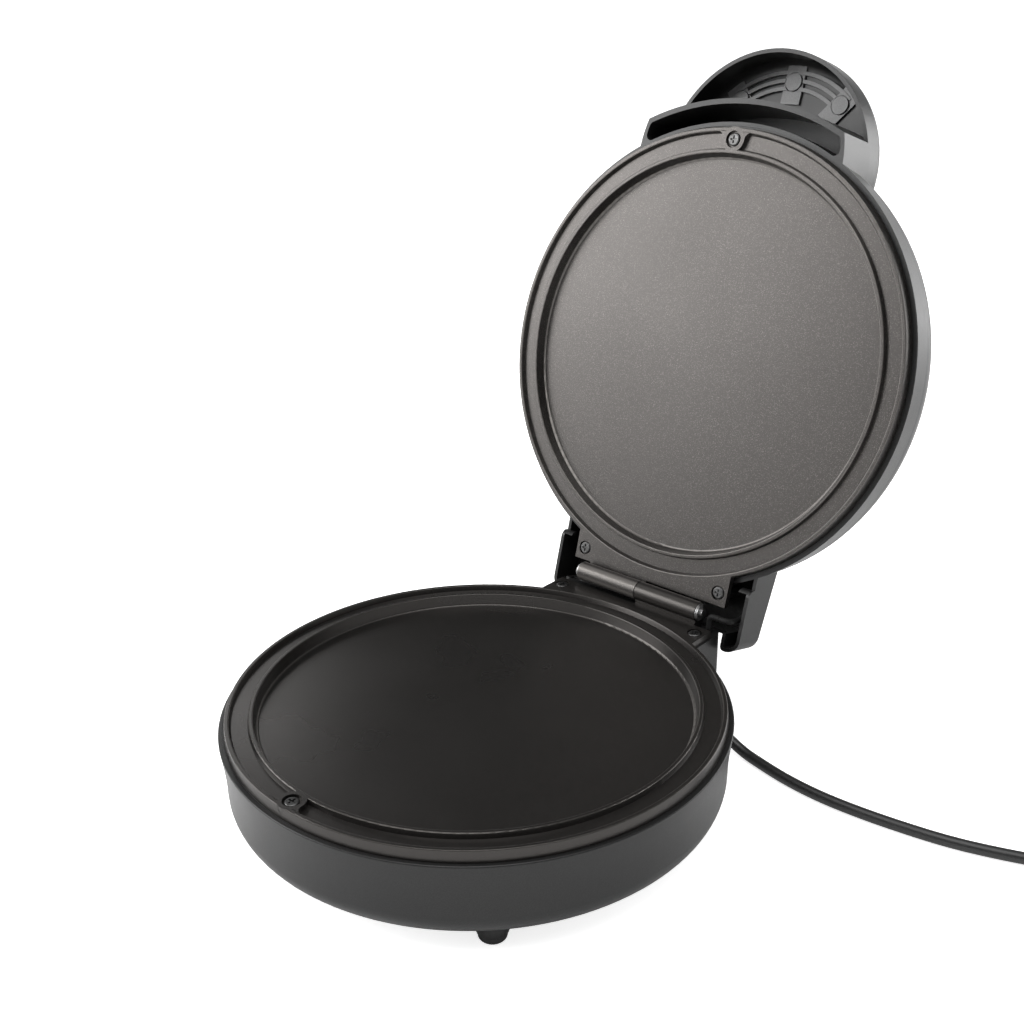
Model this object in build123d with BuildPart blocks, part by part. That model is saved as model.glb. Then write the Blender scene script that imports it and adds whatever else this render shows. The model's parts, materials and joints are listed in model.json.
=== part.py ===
"""Electric pizza maker: two like cast plates, one in a round tub and one in a domed lid.

All sizes are in millimetres. Base pieces are drawn standing on the table with the
plates' centre line on the Z axis, and lid pieces are drawn in the shut position.
The hinge is towards +Y and the handle towards -Y. At the end the lid pieces are
turned open about the hinge, and everything moves so that the open cooker is centred.
"""
import os
from math import cos, pi, radians, sin, sqrt, tan

from build123d import *

os.makedirs("parts", exist_ok=True)

# Places of the whole
LIP_Z = 76.0              # top of the lower plate's lip above the table
CLOSED_GAP = 15.4         # between the two lips with the lid shut
OPEN_ANGLE = 105.8        # how far the lid swings back from shut
HINGE_Y = 173.5           # hinge axis behind the plates' centre
HINGE_Z = LIP_Z + CLOSED_GAP / 2
CENTRE_SHIFT = -95.0      # moves the plates' centre so that the open cooker is centred

# Cast plate: radii, and depths below its own lip
FLOOR_R = 139.6
FLOOR_DEPTH = 8.0
BEAD_IN_R = 141.8
BEAD_OUT_R = 144.2
BEAD_FOOT_R = 145.2
RING_DEPTH = 3.4
LIP_FOOT_R = 155.2
LIP_IN_R = 156.6
LIP_OUT_R = 159.2
PLATE_RIM_R = 160.2
RIM_DEPTH = 7.6
PLATE_T = 4.0
LIP_ROUND = 0.7
FLOOR_ROUND = 1.6
PLATE_GAP = 1.0           # round the plate's rim, inside either casing

# Screw boss at the front of each plate
BOSS_Y = PLATE_RIM_R - 9.0
BOSS_R = 8.6
BOSS_FLARE = 5.0
BOSS_RECESS_R = 5.8
BOSS_RECESS_DEPTH = 2.2

# Hinge lug and barrel on each plate
LUG_HALF_W = 67.5
LUG_Y = 167.0
LUG_T = 5.0
LUG_SCREW_X = 60.0
LUG_SCREW_Y = 158.0
LUG_RECESS_R = 5.3
LUG_RECESS_DEPTH = 1.7
BARREL_R = 7.0
BARREL_LEN = 52.7
BARREL_GAP = 0.6          # between the two barrel halves at the middle
WEB_HALF_T = 4.6

# Hinge pin, its washers and its clip
PIN_R = 3.0
PIN_CLEAR = 0.05
PIN_HEAD_R = 5.2
PIN_HEAD_T = 1.8
PIN_TAIL = 2.0
WASHER_R = 6.4
WASHER_T = 0.8
END_PLAY = 0.1
CLIP_R = 5.8
CLIP_T = 0.9
CLIP_GROOVE_DEPTH = 0.5

# Heating element: a sheathed rod half let into a ridge under the plate
ROD_R = 3.3
ROD_RING_R = 105.0
ROD_GAP_ANGLE = 18.0      # each side of +Y
ROD_LEG = 11.0
ROD_CLEAR = 0.05
RIDGE_HALF_W = 7.0
RIDGE_DEPTH = 3.8
TERMINAL_R = 1.2
TERMINAL_LEN = 7.0

# Heat shield on three posts cast on the plate
SHIELD_POST_CENTRE_R = 72.0
SHIELD_POST_R = 4.5
SHIELD_POST_LEN = 15.0
SHIELD_R = 134.0
SHIELD_T = 0.6
SHIELD_RIM_H = 6.0
SHIELD_LEG_HOLE_R = 7.0

# Thermostat and thermal fuse under the lower plate
THERMOSTAT_Y = 38.0
THERMOSTAT_R = 8.5
THERMOSTAT_H = 9.0
THERMOSTAT_EAR_R = 11.5
THERMOSTAT_EAR_T = 1.2
BLADE_OFFSET = 4.0        # of each terminal blade from the thermostat's middle
FUSE_X = -36.0
FUSE_Z = 38.0
FUSE_R = 2.2
FUSE_LEN = 12.0

# Cross-head screws
SCREW_HEAD_R = 4.5
SCREW_HEAD_T = 1.7
SCREW_R = 1.75
SCREW_GRIP = 12.0
SCREW_FIT = 0.05          # radial clearance of the shank in its hole
SCREW_CROSS = 5.2
SCREW_CROSS_W = 1.2
SCREW_CROSS_DEPTH = 1.1
PILOT_DEPTH = 12.5

# Base tub
TUB_WALL = 2.6
TUB_RIM_Z = LIP_Z - 7.2
TUB_TOP_R = PLATE_RIM_R + PLATE_GAP + TUB_WALL
TUB_MID_DRAFT = 2.0       # how much smaller the tub is at its middle than at its rim
TUB_MID_R = TUB_TOP_R - TUB_MID_DRAFT
TUB_MID_Z = LIP_Z - 25.0
TUB_LOW_DRAFT = 2.6
TUB_LOW_R = TUB_TOP_R - TUB_LOW_DRAFT
TUB_CORNER_R = 15.0
TUB_BOTTOM_Z = 16.2
TUB_EDGE_ROUND = 0.9
LEDGE_W = 5.2             # how far a ledge reaches in under the plate's rim
LEDGE_R = PLATE_RIM_R - LEDGE_W
LEDGE_T = 2.6

# Hinge tower at the tub's back
TOWER_TOP_Z = LIP_Z - LUG_T
TOWER_HALF_W = 69.0
TOWER_Y = 179.0
TOWER_CORNER = 6.0
TOWER_FOOT_ROUND = 4.0
TOWER_MOUTH_MARGIN = 4.0
POST_R = 4.6

# Legs and their pads
LEG_RING_R = 137.5
LEG_ANGLE = 46.3          # of the front legs, each side of the front
LEG_TOP_R = 13.6
LEG_LOW_R = 9.5
LEG_ROOT = 2.4
REAR_LEG_X = 50.0
REAR_LEG_Y = 162.0
PAD_R = 8.6
PAD_H = 5.0
PAD_STEM_R = 3.0
PAD_STEM_H = 4.0
PAD_ROUND = 2.0
PAD_FIT = 0.05

# Vents in the tub's floor
VENT_RING_R = 66.0
VENT_COUNT = 10
VENT_LEN = 34.0
VENT_W = 4.0

# Lid shell: heights given above its rim plane
LID_WALL = 2.8
RIM_Z = LIP_Z + CLOSED_GAP + 7.0
LID_RIM_R = PLATE_RIM_R + PLATE_GAP + LID_WALL
LID_DRAFT = 1.8
LID_SIDE_R = LID_RIM_R - LID_DRAFT
LID_SIDE_H = 19.6
LID_SHOULDER_R = 34.0
LID_CROWN_SLOPE = 7.2

# Handle hood at the lid's front
HOOD_Y = -138.3
HOOD_FOOT_R = 82.0
HOOD_MID_R = 83.0
HOOD_MID_H = 36.0
HOOD_R = 83.4
HOOD_FRONT_Y = -201.8
HOOD_TOP_H = 63.0         # roof above the rim plane, measured at HOOD_FRONT_Y
HOOD_FALL = 3.7           # degrees that the roof falls towards the crown
HOOD_ROUND = 11.0
HOOD_WALL = 2.8
HOOD_LIP_H = 33.6         # open lip above the rim plane
GUARD_R = 180.0           # curved wall between the fingers and the warm lid
GUARD_T = 3.6
SLOT_ROUND = 4.0

# Rib frame under the hood's roof
FRAME_OUTER_ARC = 71.5
FRAME_ARC_STEP = 5.7
FRAME_ARC_COUNT = 3
FRAME_RIB_W = 2.6
FRAME_RIB_H = 2.4
FRAME_HALF_ANGLE = 41.0
FRAME_BAR_W = 15.0
FRAME_BAR_T = 1.8
FRAME_BAR_IN_R = 49.0
FRAME_BAR_OUT_R = 76.5
FRAME_BAR_ANGLE = 39.0
FRAME_STUD_CENTRE_R = 64.5
FRAME_STUD_R = 6.2
FRAME_STUD_H = 0.6        # studs beyond the ribs
FRAME_STUD_GROOVE = 0.8   # width of the groove round each stud
FRAME_STUD_FLOOR = 0.8    # bar left under that groove
FRAME_GUARD_GAP = 0.5

# Arms of the lid beside the hinge, and the cover between them
ARM_OUT_X = 84.5
ARM_IN_X = 70.0
ARM_ROOT_Y = 107.0
ARM_Y = 197.0
ARM_WALL = 2.6
ARM_DROP = 6.6            # how far the arms reach below the lid's rim
ARM_DROP_Y = 150.0
ARM_ROOF_H = 27.5         # above the rim plane, at ARM_ROOF_Y
ARM_ROOF_Y = 137.0
ARM_ROOF_FALL = 8.5
ARM_OUT_ROUND = 10.5
ARM_IN_ROUND = 3.0
ARM_DROP_ROUND = 5.0
ARM_TOP_ROUND = 2.5
COVER_Y = 187.0
LID_POST_H = 22.6         # lid's rear posts, above the rim plane

# Lead that crosses the hinge along its axis, in a sleeve
SLEEVE_R = 2.0
SLEEVE_RISER_X = 61.5
SLEEVE_SPLIT_X = 69.8
SLEEVE_GAP = 0.3
SLEEVE_LID_X = 77.6
SLEEVE_DROP = 20.0        # base half, below the plate's lip before it turns forward
SLEEVE_RISE = 5.6         # lid half, above the rim before it turns forward
SLEEVE_RUN = 21.5
SLEEVE_CLIMB = 6.0

SPLICE_X = 62.0
SPLICE_Y = 119.0
SPLICE_Z = 124.0
SPLICE_L = 14.0
SPLICE_W = 12.0
SPLICE_H = 9.0
LEAD_RISE = 10.0          # of the lid's leads above their splice

# Mains side of the base
BLOCK_X = 26.0
BLOCK_Y = 118.0
BLOCK_L = 40.0
BLOCK_W = 16.0
BLOCK_H = 13.0
BLOCK_SCREW_R = 2.2
BLOCK_SCREW_DEPTH = 6.0
LEAD_R = 1.2
LEAD_DROP = 14.0          # of a lead below its blade before it turns
EXIT_Y = 150.0
EXIT_Z = 25.5
EXIT_DROP = 30.0
GLAND_R = 5.6
GLAND_TIP_R = 4.7
GLAND_LEN = 28.0
GLAND_FLANGE_R = 7.2
GLAND_FLANGE_T = 1.6
GLAND_RINGS = 5
GLAND_RING_W = 1.8
GLAND_FIT = 0.05

# Cord, coil and plug
CORD_R = 3.8
CORD_Z = 3.9
COIL_X = 372.0
COIL_Y = 221.0
COIL_OUT_R = 46.0
COIL_PITCH = 8.2
COIL_END = 31.0           # straight run from the coil to the plug
PLUG_W = 26.0
PLUG_L = 34.0
PLUG_ROUND = 5.0
PLUG_NECK_LEN = 22.0
PLUG_NECK_R = 6.4
BLADE_W = 6.3
BLADE_T = 1.5
BLADE_LEN = 17.0
BLADE_SPREAD = 12.7
EARTH_PIN_R = 2.4
EARTH_PIN_LEN = 20.0
EARTH_PIN_DROP = 11.0
BLADE_RISE = 3.0


def ring_point(radius, degrees_from_x):
    """Point on a circle about the centre line."""
    return (radius * cos(radians(degrees_from_x)), radius * sin(radians(degrees_from_x)))


def screw_at(x, y, z, pointing_up=False):
    """Cross-head screw with the underside of its head at z."""
    with BuildPart(mode=Mode.PRIVATE) as made:
        with BuildSketch():
            Circle(SCREW_HEAD_R)
        extrude(amount=SCREW_HEAD_T)
        fillet(made.edges().group_by(Axis.Z)[-1], SCREW_HEAD_T * 0.6)
        with BuildSketch():
            Circle(SCREW_R)
        extrude(amount=-SCREW_GRIP)
        with BuildSketch(Plane.XY.offset(SCREW_HEAD_T - SCREW_CROSS_DEPTH)):
            Rectangle(SCREW_CROSS, SCREW_CROSS_W)
            Rectangle(SCREW_CROSS_W, SCREW_CROSS)
        extrude(amount=SCREW_HEAD_T, mode=Mode.SUBTRACT)
    return made.part.moved(Location((x, y, z), (180 if pointing_up else 0, 0, 0)))


def arc_radii(points):
    """Largest arcs that a route's runs allow at each of its corners."""
    radii = []
    for before, corner, after in zip(points, points[1:], points[2:]):
        run_in = Vector(*corner) - Vector(*before)
        run_out = Vector(*after) - Vector(*corner)
        half_turn = radians(run_in.get_angle(run_out)) / 2
        radii.append(0.45 * min(run_in.length, run_out.length) / tan(half_turn))
    return radii


def tube(points, radius):
    """Round tube of straight runs joined by tangent arcs."""
    with BuildPart(mode=Mode.PRIVATE) as made:
        with BuildLine() as route:
            FilletPolyline(*points, radius=arc_radii(points))
        with BuildSketch(Plane(origin=route.line @ 0, z_dir=route.line % 0)):
            Circle(radius)
        sweep(path=route.line)
    return made.part


# Lower plate, cast with its bead, lip, front boss, hinge lug and half of the barrel
plate_under = LIP_Z - FLOOR_DEPTH - PLATE_T
rod_z = plate_under - RIDGE_DEPTH
with BuildPart() as base_plate:
    with BuildSketch(Plane.XZ) as plate_section:
        with BuildLine():
            Polyline(
                (0, LIP_Z - FLOOR_DEPTH),
                (FLOOR_R, LIP_Z - FLOOR_DEPTH),
                (BEAD_IN_R, LIP_Z),
                (BEAD_OUT_R, LIP_Z),
                (BEAD_FOOT_R, LIP_Z - RING_DEPTH),
                (LIP_FOOT_R, LIP_Z - RING_DEPTH),
                (LIP_IN_R, LIP_Z),
                (LIP_OUT_R, LIP_Z),
                (PLATE_RIM_R, LIP_Z - RIM_DEPTH),
                (FLOOR_R + PLATE_T, LIP_Z - RIM_DEPTH),
                (FLOOR_R + PLATE_T / 2, plate_under),
                (0, plate_under),
                close=True,
            )
        make_face()
        lip_corners = plate_section.vertices().filter_by(lambda v: v.Y > LIP_Z - 0.01)
        fillet(lip_corners, LIP_ROUND)
        floor_corner = plate_section.vertices().filter_by(
            lambda v: abs(v.X - FLOOR_R) < 0.01 and abs(v.Y - LIP_Z + FLOOR_DEPTH) < 0.01
        )
        fillet(floor_corner, FLOOR_ROUND)
    revolve(axis=Axis.Z)
    with BuildSketch(Plane.XY.offset(LIP_Z - RIM_DEPTH)):
        with Locations((0, -BOSS_Y)):
            Circle(BOSS_R)
        flare_x = BOSS_R + BOSS_FLARE
        flare_y = -(BOSS_Y + BOSS_FLARE)
        flare_mid = BOSS_FLARE / sqrt(2)
        with BuildLine():
            ThreePointArc((BOSS_R, -BOSS_Y), (flare_x - flare_mid, -BOSS_Y - flare_mid), (flare_x, flare_y))
            Line((flare_x, flare_y), (-flare_x, flare_y))
            ThreePointArc((-flare_x, flare_y), (flare_mid - flare_x, -BOSS_Y - flare_mid), (-BOSS_R, -BOSS_Y))
            Line((-BOSS_R, -BOSS_Y), (BOSS_R, -BOSS_Y))
        make_face()
    extrude(amount=RIM_DEPTH)
    with BuildSketch(Plane.XY.offset(LIP_Z - LUG_T)):
        with Locations((0, LUG_Y - 20)):
            Rectangle(2 * LUG_HALF_W, 40)
        Circle(LIP_OUT_R - 1.0, mode=Mode.SUBTRACT)
    extrude(amount=LUG_T)
    with BuildSketch(Plane.YZ.offset(BARREL_GAP / 2)):
        with Locations((HINGE_Y, HINGE_Z)):
            Circle(BARREL_R)
        with Locations((HINGE_Y, (HINGE_Z + LIP_Z - LUG_T) / 2)):
            Rectangle(2 * WEB_HALF_T, HINGE_Z - LIP_Z + LUG_T)
        with Locations(((LUG_Y + HINGE_Y) / 2, LIP_Z - LUG_T / 2)):
            Rectangle(HINGE_Y - LUG_Y + 2 * WEB_HALF_T, LUG_T)
    extrude(amount=BARREL_LEN - BARREL_GAP / 2)
    with BuildSketch(Plane.YZ):
        with Locations((HINGE_Y, HINGE_Z)):
            Circle(PIN_R + PIN_CLEAR)
    extrude(amount=BARREL_LEN, mode=Mode.SUBTRACT)
    with BuildSketch(Plane.XZ):
        with Locations((ROD_RING_R, plate_under - RIDGE_DEPTH / 2)):
            Rectangle(2 * RIDGE_HALF_W, RIDGE_DEPTH)
    revolve(axis=Axis.Z)
    with BuildSketch(Plane.XZ):
        with Locations((ROD_RING_R, rod_z)):
            Circle(ROD_R + ROD_CLEAR)
    revolve(axis=Axis.Z, mode=Mode.SUBTRACT)
    with BuildSketch(Plane.XY.offset(plate_under)):
        with PolarLocations(SHIELD_POST_CENTRE_R, 3, start_angle=90):
            Circle(SHIELD_POST_R)
    extrude(amount=-SHIELD_POST_LEN)
    with BuildSketch(Plane.XY.offset(plate_under - SHIELD_POST_LEN)):
        with PolarLocations(SHIELD_POST_CENTRE_R, 3, start_angle=90):
            Circle(SCREW_R + SCREW_FIT)
    extrude(amount=PILOT_DEPTH, mode=Mode.SUBTRACT)
    with BuildSketch(Plane.XY.offset(LIP_Z - BOSS_RECESS_DEPTH)):
        with Locations((0, -BOSS_Y)):
            Circle(BOSS_RECESS_R)
    extrude(amount=BOSS_RECESS_DEPTH, mode=Mode.SUBTRACT)
    with BuildSketch(Plane.XY.offset(LIP_Z - LUG_RECESS_DEPTH)):
        with Locations((-LUG_SCREW_X, LUG_SCREW_Y), (LUG_SCREW_X, LUG_SCREW_Y)):
            Circle(LUG_RECESS_R)
    extrude(amount=LUG_RECESS_DEPTH, mode=Mode.SUBTRACT)
    with BuildSketch(Plane.XY.offset(LIP_Z)):
        with Locations((0, -BOSS_Y), (-LUG_SCREW_X, LUG_SCREW_Y), (LUG_SCREW_X, LUG_SCREW_Y)):
            Circle(SCREW_R + SCREW_FIT)
    extrude(amount=-(RIM_DEPTH + 1), mode=Mode.SUBTRACT)

# Sheathed heating rod with its two legs turned down to the terminals
rod_start = 90 + ROD_GAP_ANGLE
with BuildPart() as base_heating_rod:
    with BuildSketch(Plane.XZ.rotated((0, 0, rod_start))):
        with Locations((ROD_RING_R, rod_z)):
            Circle(ROD_R)
    revolve(axis=Axis.Z, revolution_arc=360 - 2 * ROD_GAP_ANGLE)
    for side in (-1, 1):
        leg_x, leg_y = ring_point(ROD_RING_R, 90 + side * ROD_GAP_ANGLE)
        with Locations((leg_x, leg_y, rod_z)):
            Sphere(ROD_R)
        with BuildSketch(Plane.XY.offset(rod_z)):
            with Locations((leg_x, leg_y)):
                Circle(ROD_R)
        extrude(amount=-ROD_LEG)
        with BuildSketch(Plane.XY.offset(rod_z - ROD_LEG)):
            with Locations((leg_x, leg_y)):
                Circle(TERMINAL_R)
        extrude(amount=-TERMINAL_LEN)

# Pressed sheet shield below the rod
shield_z = plate_under - SHIELD_POST_LEN
with BuildPart() as base_heat_shield:
    with BuildSketch(Plane.XY.offset(shield_z - SHIELD_T)):
        Circle(SHIELD_R)
    extrude(amount=SHIELD_T + SHIELD_RIM_H)
    with BuildSketch(Plane.XY.offset(shield_z)):
        Circle(SHIELD_R - SHIELD_T)
    extrude(amount=SHIELD_RIM_H, mode=Mode.SUBTRACT)
    with BuildSketch(Plane.XY.offset(shield_z - SHIELD_T)):
        with PolarLocations(SHIELD_POST_CENTRE_R, 3, start_angle=90):
            Circle(SCREW_R + SCREW_FIT)
        for side in (-1, 1):
            with Locations(ring_point(ROD_RING_R, 90 + side * ROD_GAP_ANGLE)):
                Circle(SHIELD_LEG_HOLE_R)
        with Locations((0, THERMOSTAT_Y)):
            Circle(THERMOSTAT_R)
    extrude(amount=SHIELD_T, mode=Mode.SUBTRACT)

# Snap-disc thermostat against the plate, and the thermal fuse in its lead
with BuildPart() as thermostat:
    with BuildSketch(Plane.XY.offset(plate_under)):
        with Locations((0, THERMOSTAT_Y)):
            Circle(THERMOSTAT_R)
    extrude(amount=-THERMOSTAT_H)
    with BuildSketch(Plane.XY.offset(plate_under)):
        with Locations((0, THERMOSTAT_Y)):
            SlotOverall(2 * THERMOSTAT_EAR_R, 2 * TERMINAL_R + 5)
    extrude(amount=-THERMOSTAT_EAR_T)
    with BuildSketch(Plane.XY.offset(plate_under - THERMOSTAT_H)):
        with Locations((-BLADE_OFFSET, THERMOSTAT_Y), (BLADE_OFFSET, THERMOSTAT_Y)):
            Rectangle(1.0, 4.8)
    extrude(amount=-TERMINAL_LEN)
with BuildPart() as thermal_fuse:
    with BuildSketch(Plane.YZ.offset(FUSE_X - FUSE_LEN / 2)):
        with Locations((THERMOSTAT_Y, FUSE_Z)):
            Circle(FUSE_R)
    extrude(amount=FUSE_LEN)
    chamfer(thermal_fuse.edges().filter_by(GeomType.CIRCLE), FUSE_R * 0.4)

# Tub with the hinge tower behind it, ledge, posts, legs, vents and the cord's hole


def tub_body(inset):
    """Turned form of the tub, drawn in by the inset all round."""
    low_z = TUB_BOTTOM_Z + inset
    corner_z = TUB_BOTTOM_Z + TUB_CORNER_R
    corner_r = TUB_CORNER_R - inset
    flat_r = TUB_LOW_R - TUB_CORNER_R
    half = corner_r * sin(pi / 4)
    with BuildPart(mode=Mode.PRIVATE) as made:
        with BuildSketch(Plane.XZ):
            with BuildLine():
                floor = Line((0, low_z), (flat_r, low_z))
                corner = ThreePointArc(
                    floor @ 1, (flat_r + half, corner_z - half), (TUB_LOW_R - inset, corner_z)
                )
                wall = ThreePointArc(
                    corner @ 1, (TUB_MID_R - inset, TUB_MID_Z), (TUB_TOP_R - inset, TUB_RIM_Z)
                )
                Polyline(wall @ 1, (0, TUB_RIM_Z), (0, low_z))
            make_face()
        revolve(axis=Axis.Z)
        if inset == 0:
            fillet(made.edges().group_by(Axis.Z)[-1], TUB_EDGE_ROUND)
    return made.part


def tower_body(inset, top_z):
    """Block behind the tub that carries the hinge, drawn in by the inset."""
    corner = TOWER_CORNER - inset
    with BuildPart(mode=Mode.PRIVATE) as made:
        with BuildSketch(Plane.XY.offset(TUB_BOTTOM_Z + inset)) as outline:
            with Locations((0, TOWER_Y - inset - 40)):
                Rectangle(2 * (TOWER_HALF_W - inset), 80)
            fillet(outline.vertices().group_by(Axis.Y)[-1], corner)
        extrude(amount=top_z - TUB_BOTTOM_Z - inset)
        if inset == 0:
            fillet(made.edges().group_by(Axis.Z)[0], TOWER_FOOT_ROUND)
    return made.part


exit_point = Vector(TOWER_HALF_W, EXIT_Y, EXIT_Z)
exit_way = Vector(cos(radians(EXIT_DROP)), 0, -sin(radians(EXIT_DROP)))
exit_plane = Plane(origin=exit_point, x_dir=(0, 1, 0), z_dir=exit_way)
leg_places = [ring_point(LEG_RING_R, side * LEG_ANGLE - 90) for side in (-1, 1)]
leg_places += [(REAR_LEG_X * side, REAR_LEG_Y) for side in (-1, 1)]
ledge_z = LIP_Z - RIM_DEPTH
with BuildPart() as front_post:
    with BuildSketch(Plane.XY.offset(ledge_z)):
        with Locations((0, -BOSS_Y)):
            Circle(POST_R)
    extrude(amount=-ledge_z)
with BuildPart() as base_shell:
    add(tub_body(0))
    add(tower_body(0, TOWER_TOP_Z))
    for place in leg_places:
        with Locations((*place, (PAD_H + TUB_BOTTOM_Z + LEG_ROOT) / 2)):
            Cone(LEG_LOW_R, LEG_TOP_R, TUB_BOTTOM_Z + LEG_ROOT - PAD_H)
    add(tub_body(TUB_WALL), mode=Mode.SUBTRACT)
    add(tower_body(TUB_WALL, TOWER_TOP_Z - TUB_WALL), mode=Mode.SUBTRACT)
    with BuildSketch(Plane.XY.offset(TUB_RIM_Z)):
        Circle(TUB_TOP_R - TUB_WALL)
    extrude(amount=TOWER_TOP_Z - TUB_RIM_Z, mode=Mode.SUBTRACT)
    with BuildSketch(Plane.XY.offset(TOWER_TOP_Z)):
        with Locations((0, LUG_Y - 20 - TOWER_MOUTH_MARGIN)):
            Rectangle(2 * (LUG_HALF_W - TOWER_MOUTH_MARGIN), 40)
    extrude(amount=-TUB_WALL, mode=Mode.SUBTRACT)
    with BuildSketch(Plane.XY.offset(ledge_z)):
        Circle(TUB_TOP_R - TUB_WALL / 2)
        Circle(LEDGE_R, mode=Mode.SUBTRACT)
    extrude(amount=-LEDGE_T)
    with BuildSketch(Plane.XY.offset(TUB_BOTTOM_Z + TUB_WALL / 2)):
        with Locations((-LUG_SCREW_X, LUG_SCREW_Y), (LUG_SCREW_X, LUG_SCREW_Y)):
            Circle(POST_R)
    extrude(amount=TOWER_TOP_Z - TUB_BOTTOM_Z - TUB_WALL / 2)
    add(front_post.part & tub_body(TUB_WALL / 2))
    with BuildSketch(Plane.XY.offset(TOWER_TOP_Z)):
        with Locations((-LUG_SCREW_X, LUG_SCREW_Y), (LUG_SCREW_X, LUG_SCREW_Y)):
            Circle(SCREW_R + SCREW_FIT)
    extrude(amount=-PILOT_DEPTH, mode=Mode.SUBTRACT)
    with BuildSketch(Plane.XY.offset(ledge_z)):
        with Locations((0, -BOSS_Y)):
            Circle(SCREW_R + SCREW_FIT)
    extrude(amount=-PILOT_DEPTH, mode=Mode.SUBTRACT)
    with BuildSketch(Plane.XY.offset(PAD_H)):
        with Locations(*leg_places):
            Circle(PAD_STEM_R + PAD_FIT)
    extrude(amount=PAD_STEM_H + PAD_FIT, mode=Mode.SUBTRACT)
    with BuildSketch(Plane.XY.offset(TUB_BOTTOM_Z)):
        with PolarLocations(VENT_RING_R, VENT_COUNT):
            SlotOverall(VENT_LEN, VENT_W)
    extrude(amount=TUB_WALL, mode=Mode.SUBTRACT)
    with BuildSketch(exit_plane.offset(-2 * TUB_WALL)):
        Circle(GLAND_R + GLAND_FIT)
    extrude(amount=4 * TUB_WALL, mode=Mode.SUBTRACT)
    with BuildSketch(Plane.XY.offset(TOWER_TOP_Z)):
        with Locations((SLEEVE_RISER_X, HINGE_Y)):
            Circle(SLEEVE_R + GLAND_FIT)
    extrude(amount=-TUB_WALL, mode=Mode.SUBTRACT)

with BuildPart() as foot_pads:
    for place in leg_places:
        with BuildSketch(Plane.XY):
            with Locations(place):
                Circle(PAD_R)
        extrude(amount=PAD_H)
    fillet(foot_pads.edges().group_by(Axis.Z)[0], PAD_ROUND)
    with BuildSketch(Plane.XY.offset(PAD_H)):
        with Locations(*leg_places):
            Circle(PAD_STEM_R)
    extrude(amount=PAD_STEM_H)

# Domed lid shell


def dome_body(inset):
    """Turned form of the lid, drawn in by the inset."""
    side_z = RIM_Z + LID_SIDE_H
    centre_r = LID_SIDE_R - LID_SHOULDER_R
    shoulder = LID_SHOULDER_R - inset
    slope = radians(LID_CROWN_SLOPE)
    mid = (radians(90) - slope) / 2
    crown_r = (centre_r + LID_SHOULDER_R * sin(slope)) / sin(slope)
    crown_z = side_z + (LID_SHOULDER_R - crown_r) * cos(slope)
    crown = crown_r - inset
    with BuildPart(mode=Mode.PRIVATE) as made:
        with BuildSketch(Plane.XZ):
            with BuildLine():
                side = Line((LID_RIM_R - inset, RIM_Z), (LID_SIDE_R - inset, side_z))
                round_over = ThreePointArc(
                    side @ 1,
                    (centre_r + shoulder * cos(mid), side_z + shoulder * sin(mid)),
                    (centre_r + shoulder * sin(slope), side_z + shoulder * cos(slope)),
                )
                top = ThreePointArc(
                    round_over @ 1,
                    (crown * sin(slope / 2), crown_z + crown * cos(slope / 2)),
                    (0, crown_z + crown),
                )
                Polyline(top @ 1, (0, RIM_Z), side @ 0)
            make_face()
        revolve(axis=Axis.Z)
    return made.part


roof_plane = Plane(
    origin=(0, HOOD_FRONT_Y, RIM_Z + HOOD_TOP_H),
    x_dir=(1, 0, 0),
    z_dir=(0, sin(radians(HOOD_FALL)), cos(radians(HOOD_FALL))),
)


def hood_body(inset):
    """Turned form of the handle hood under its sloping roof, drawn in by the inset."""
    over_z = RIM_Z + HOOD_TOP_H + 20
    with BuildPart(mode=Mode.PRIVATE) as made:
        with BuildSketch(Plane.XZ.offset(-HOOD_Y)):
            with BuildLine():
                Polyline(
                    (0, RIM_Z),
                    (HOOD_FOOT_R - inset, RIM_Z),
                    (HOOD_MID_R - inset, RIM_Z + HOOD_MID_H),
                    (HOOD_R - inset, over_z),
                    (0, over_z),
                    close=True,
                )
            make_face()
        revolve(axis=Axis((0, HOOD_Y, 0), (0, 0, 1)))
        split(bisect_by=roof_plane.offset(-inset), keep=Keep.BOTTOM)
        fillet(made.faces().sort_by(Axis.Z)[-1].edges(), HOOD_ROUND - inset)
    return made.part


arm_roof = Plane(
    origin=(0, ARM_ROOF_Y, RIM_Z + ARM_ROOF_H),
    x_dir=(1, 0, 0),
    z_dir=(0, sin(radians(ARM_ROOF_FALL)), cos(radians(ARM_ROOF_FALL))),
)


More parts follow.
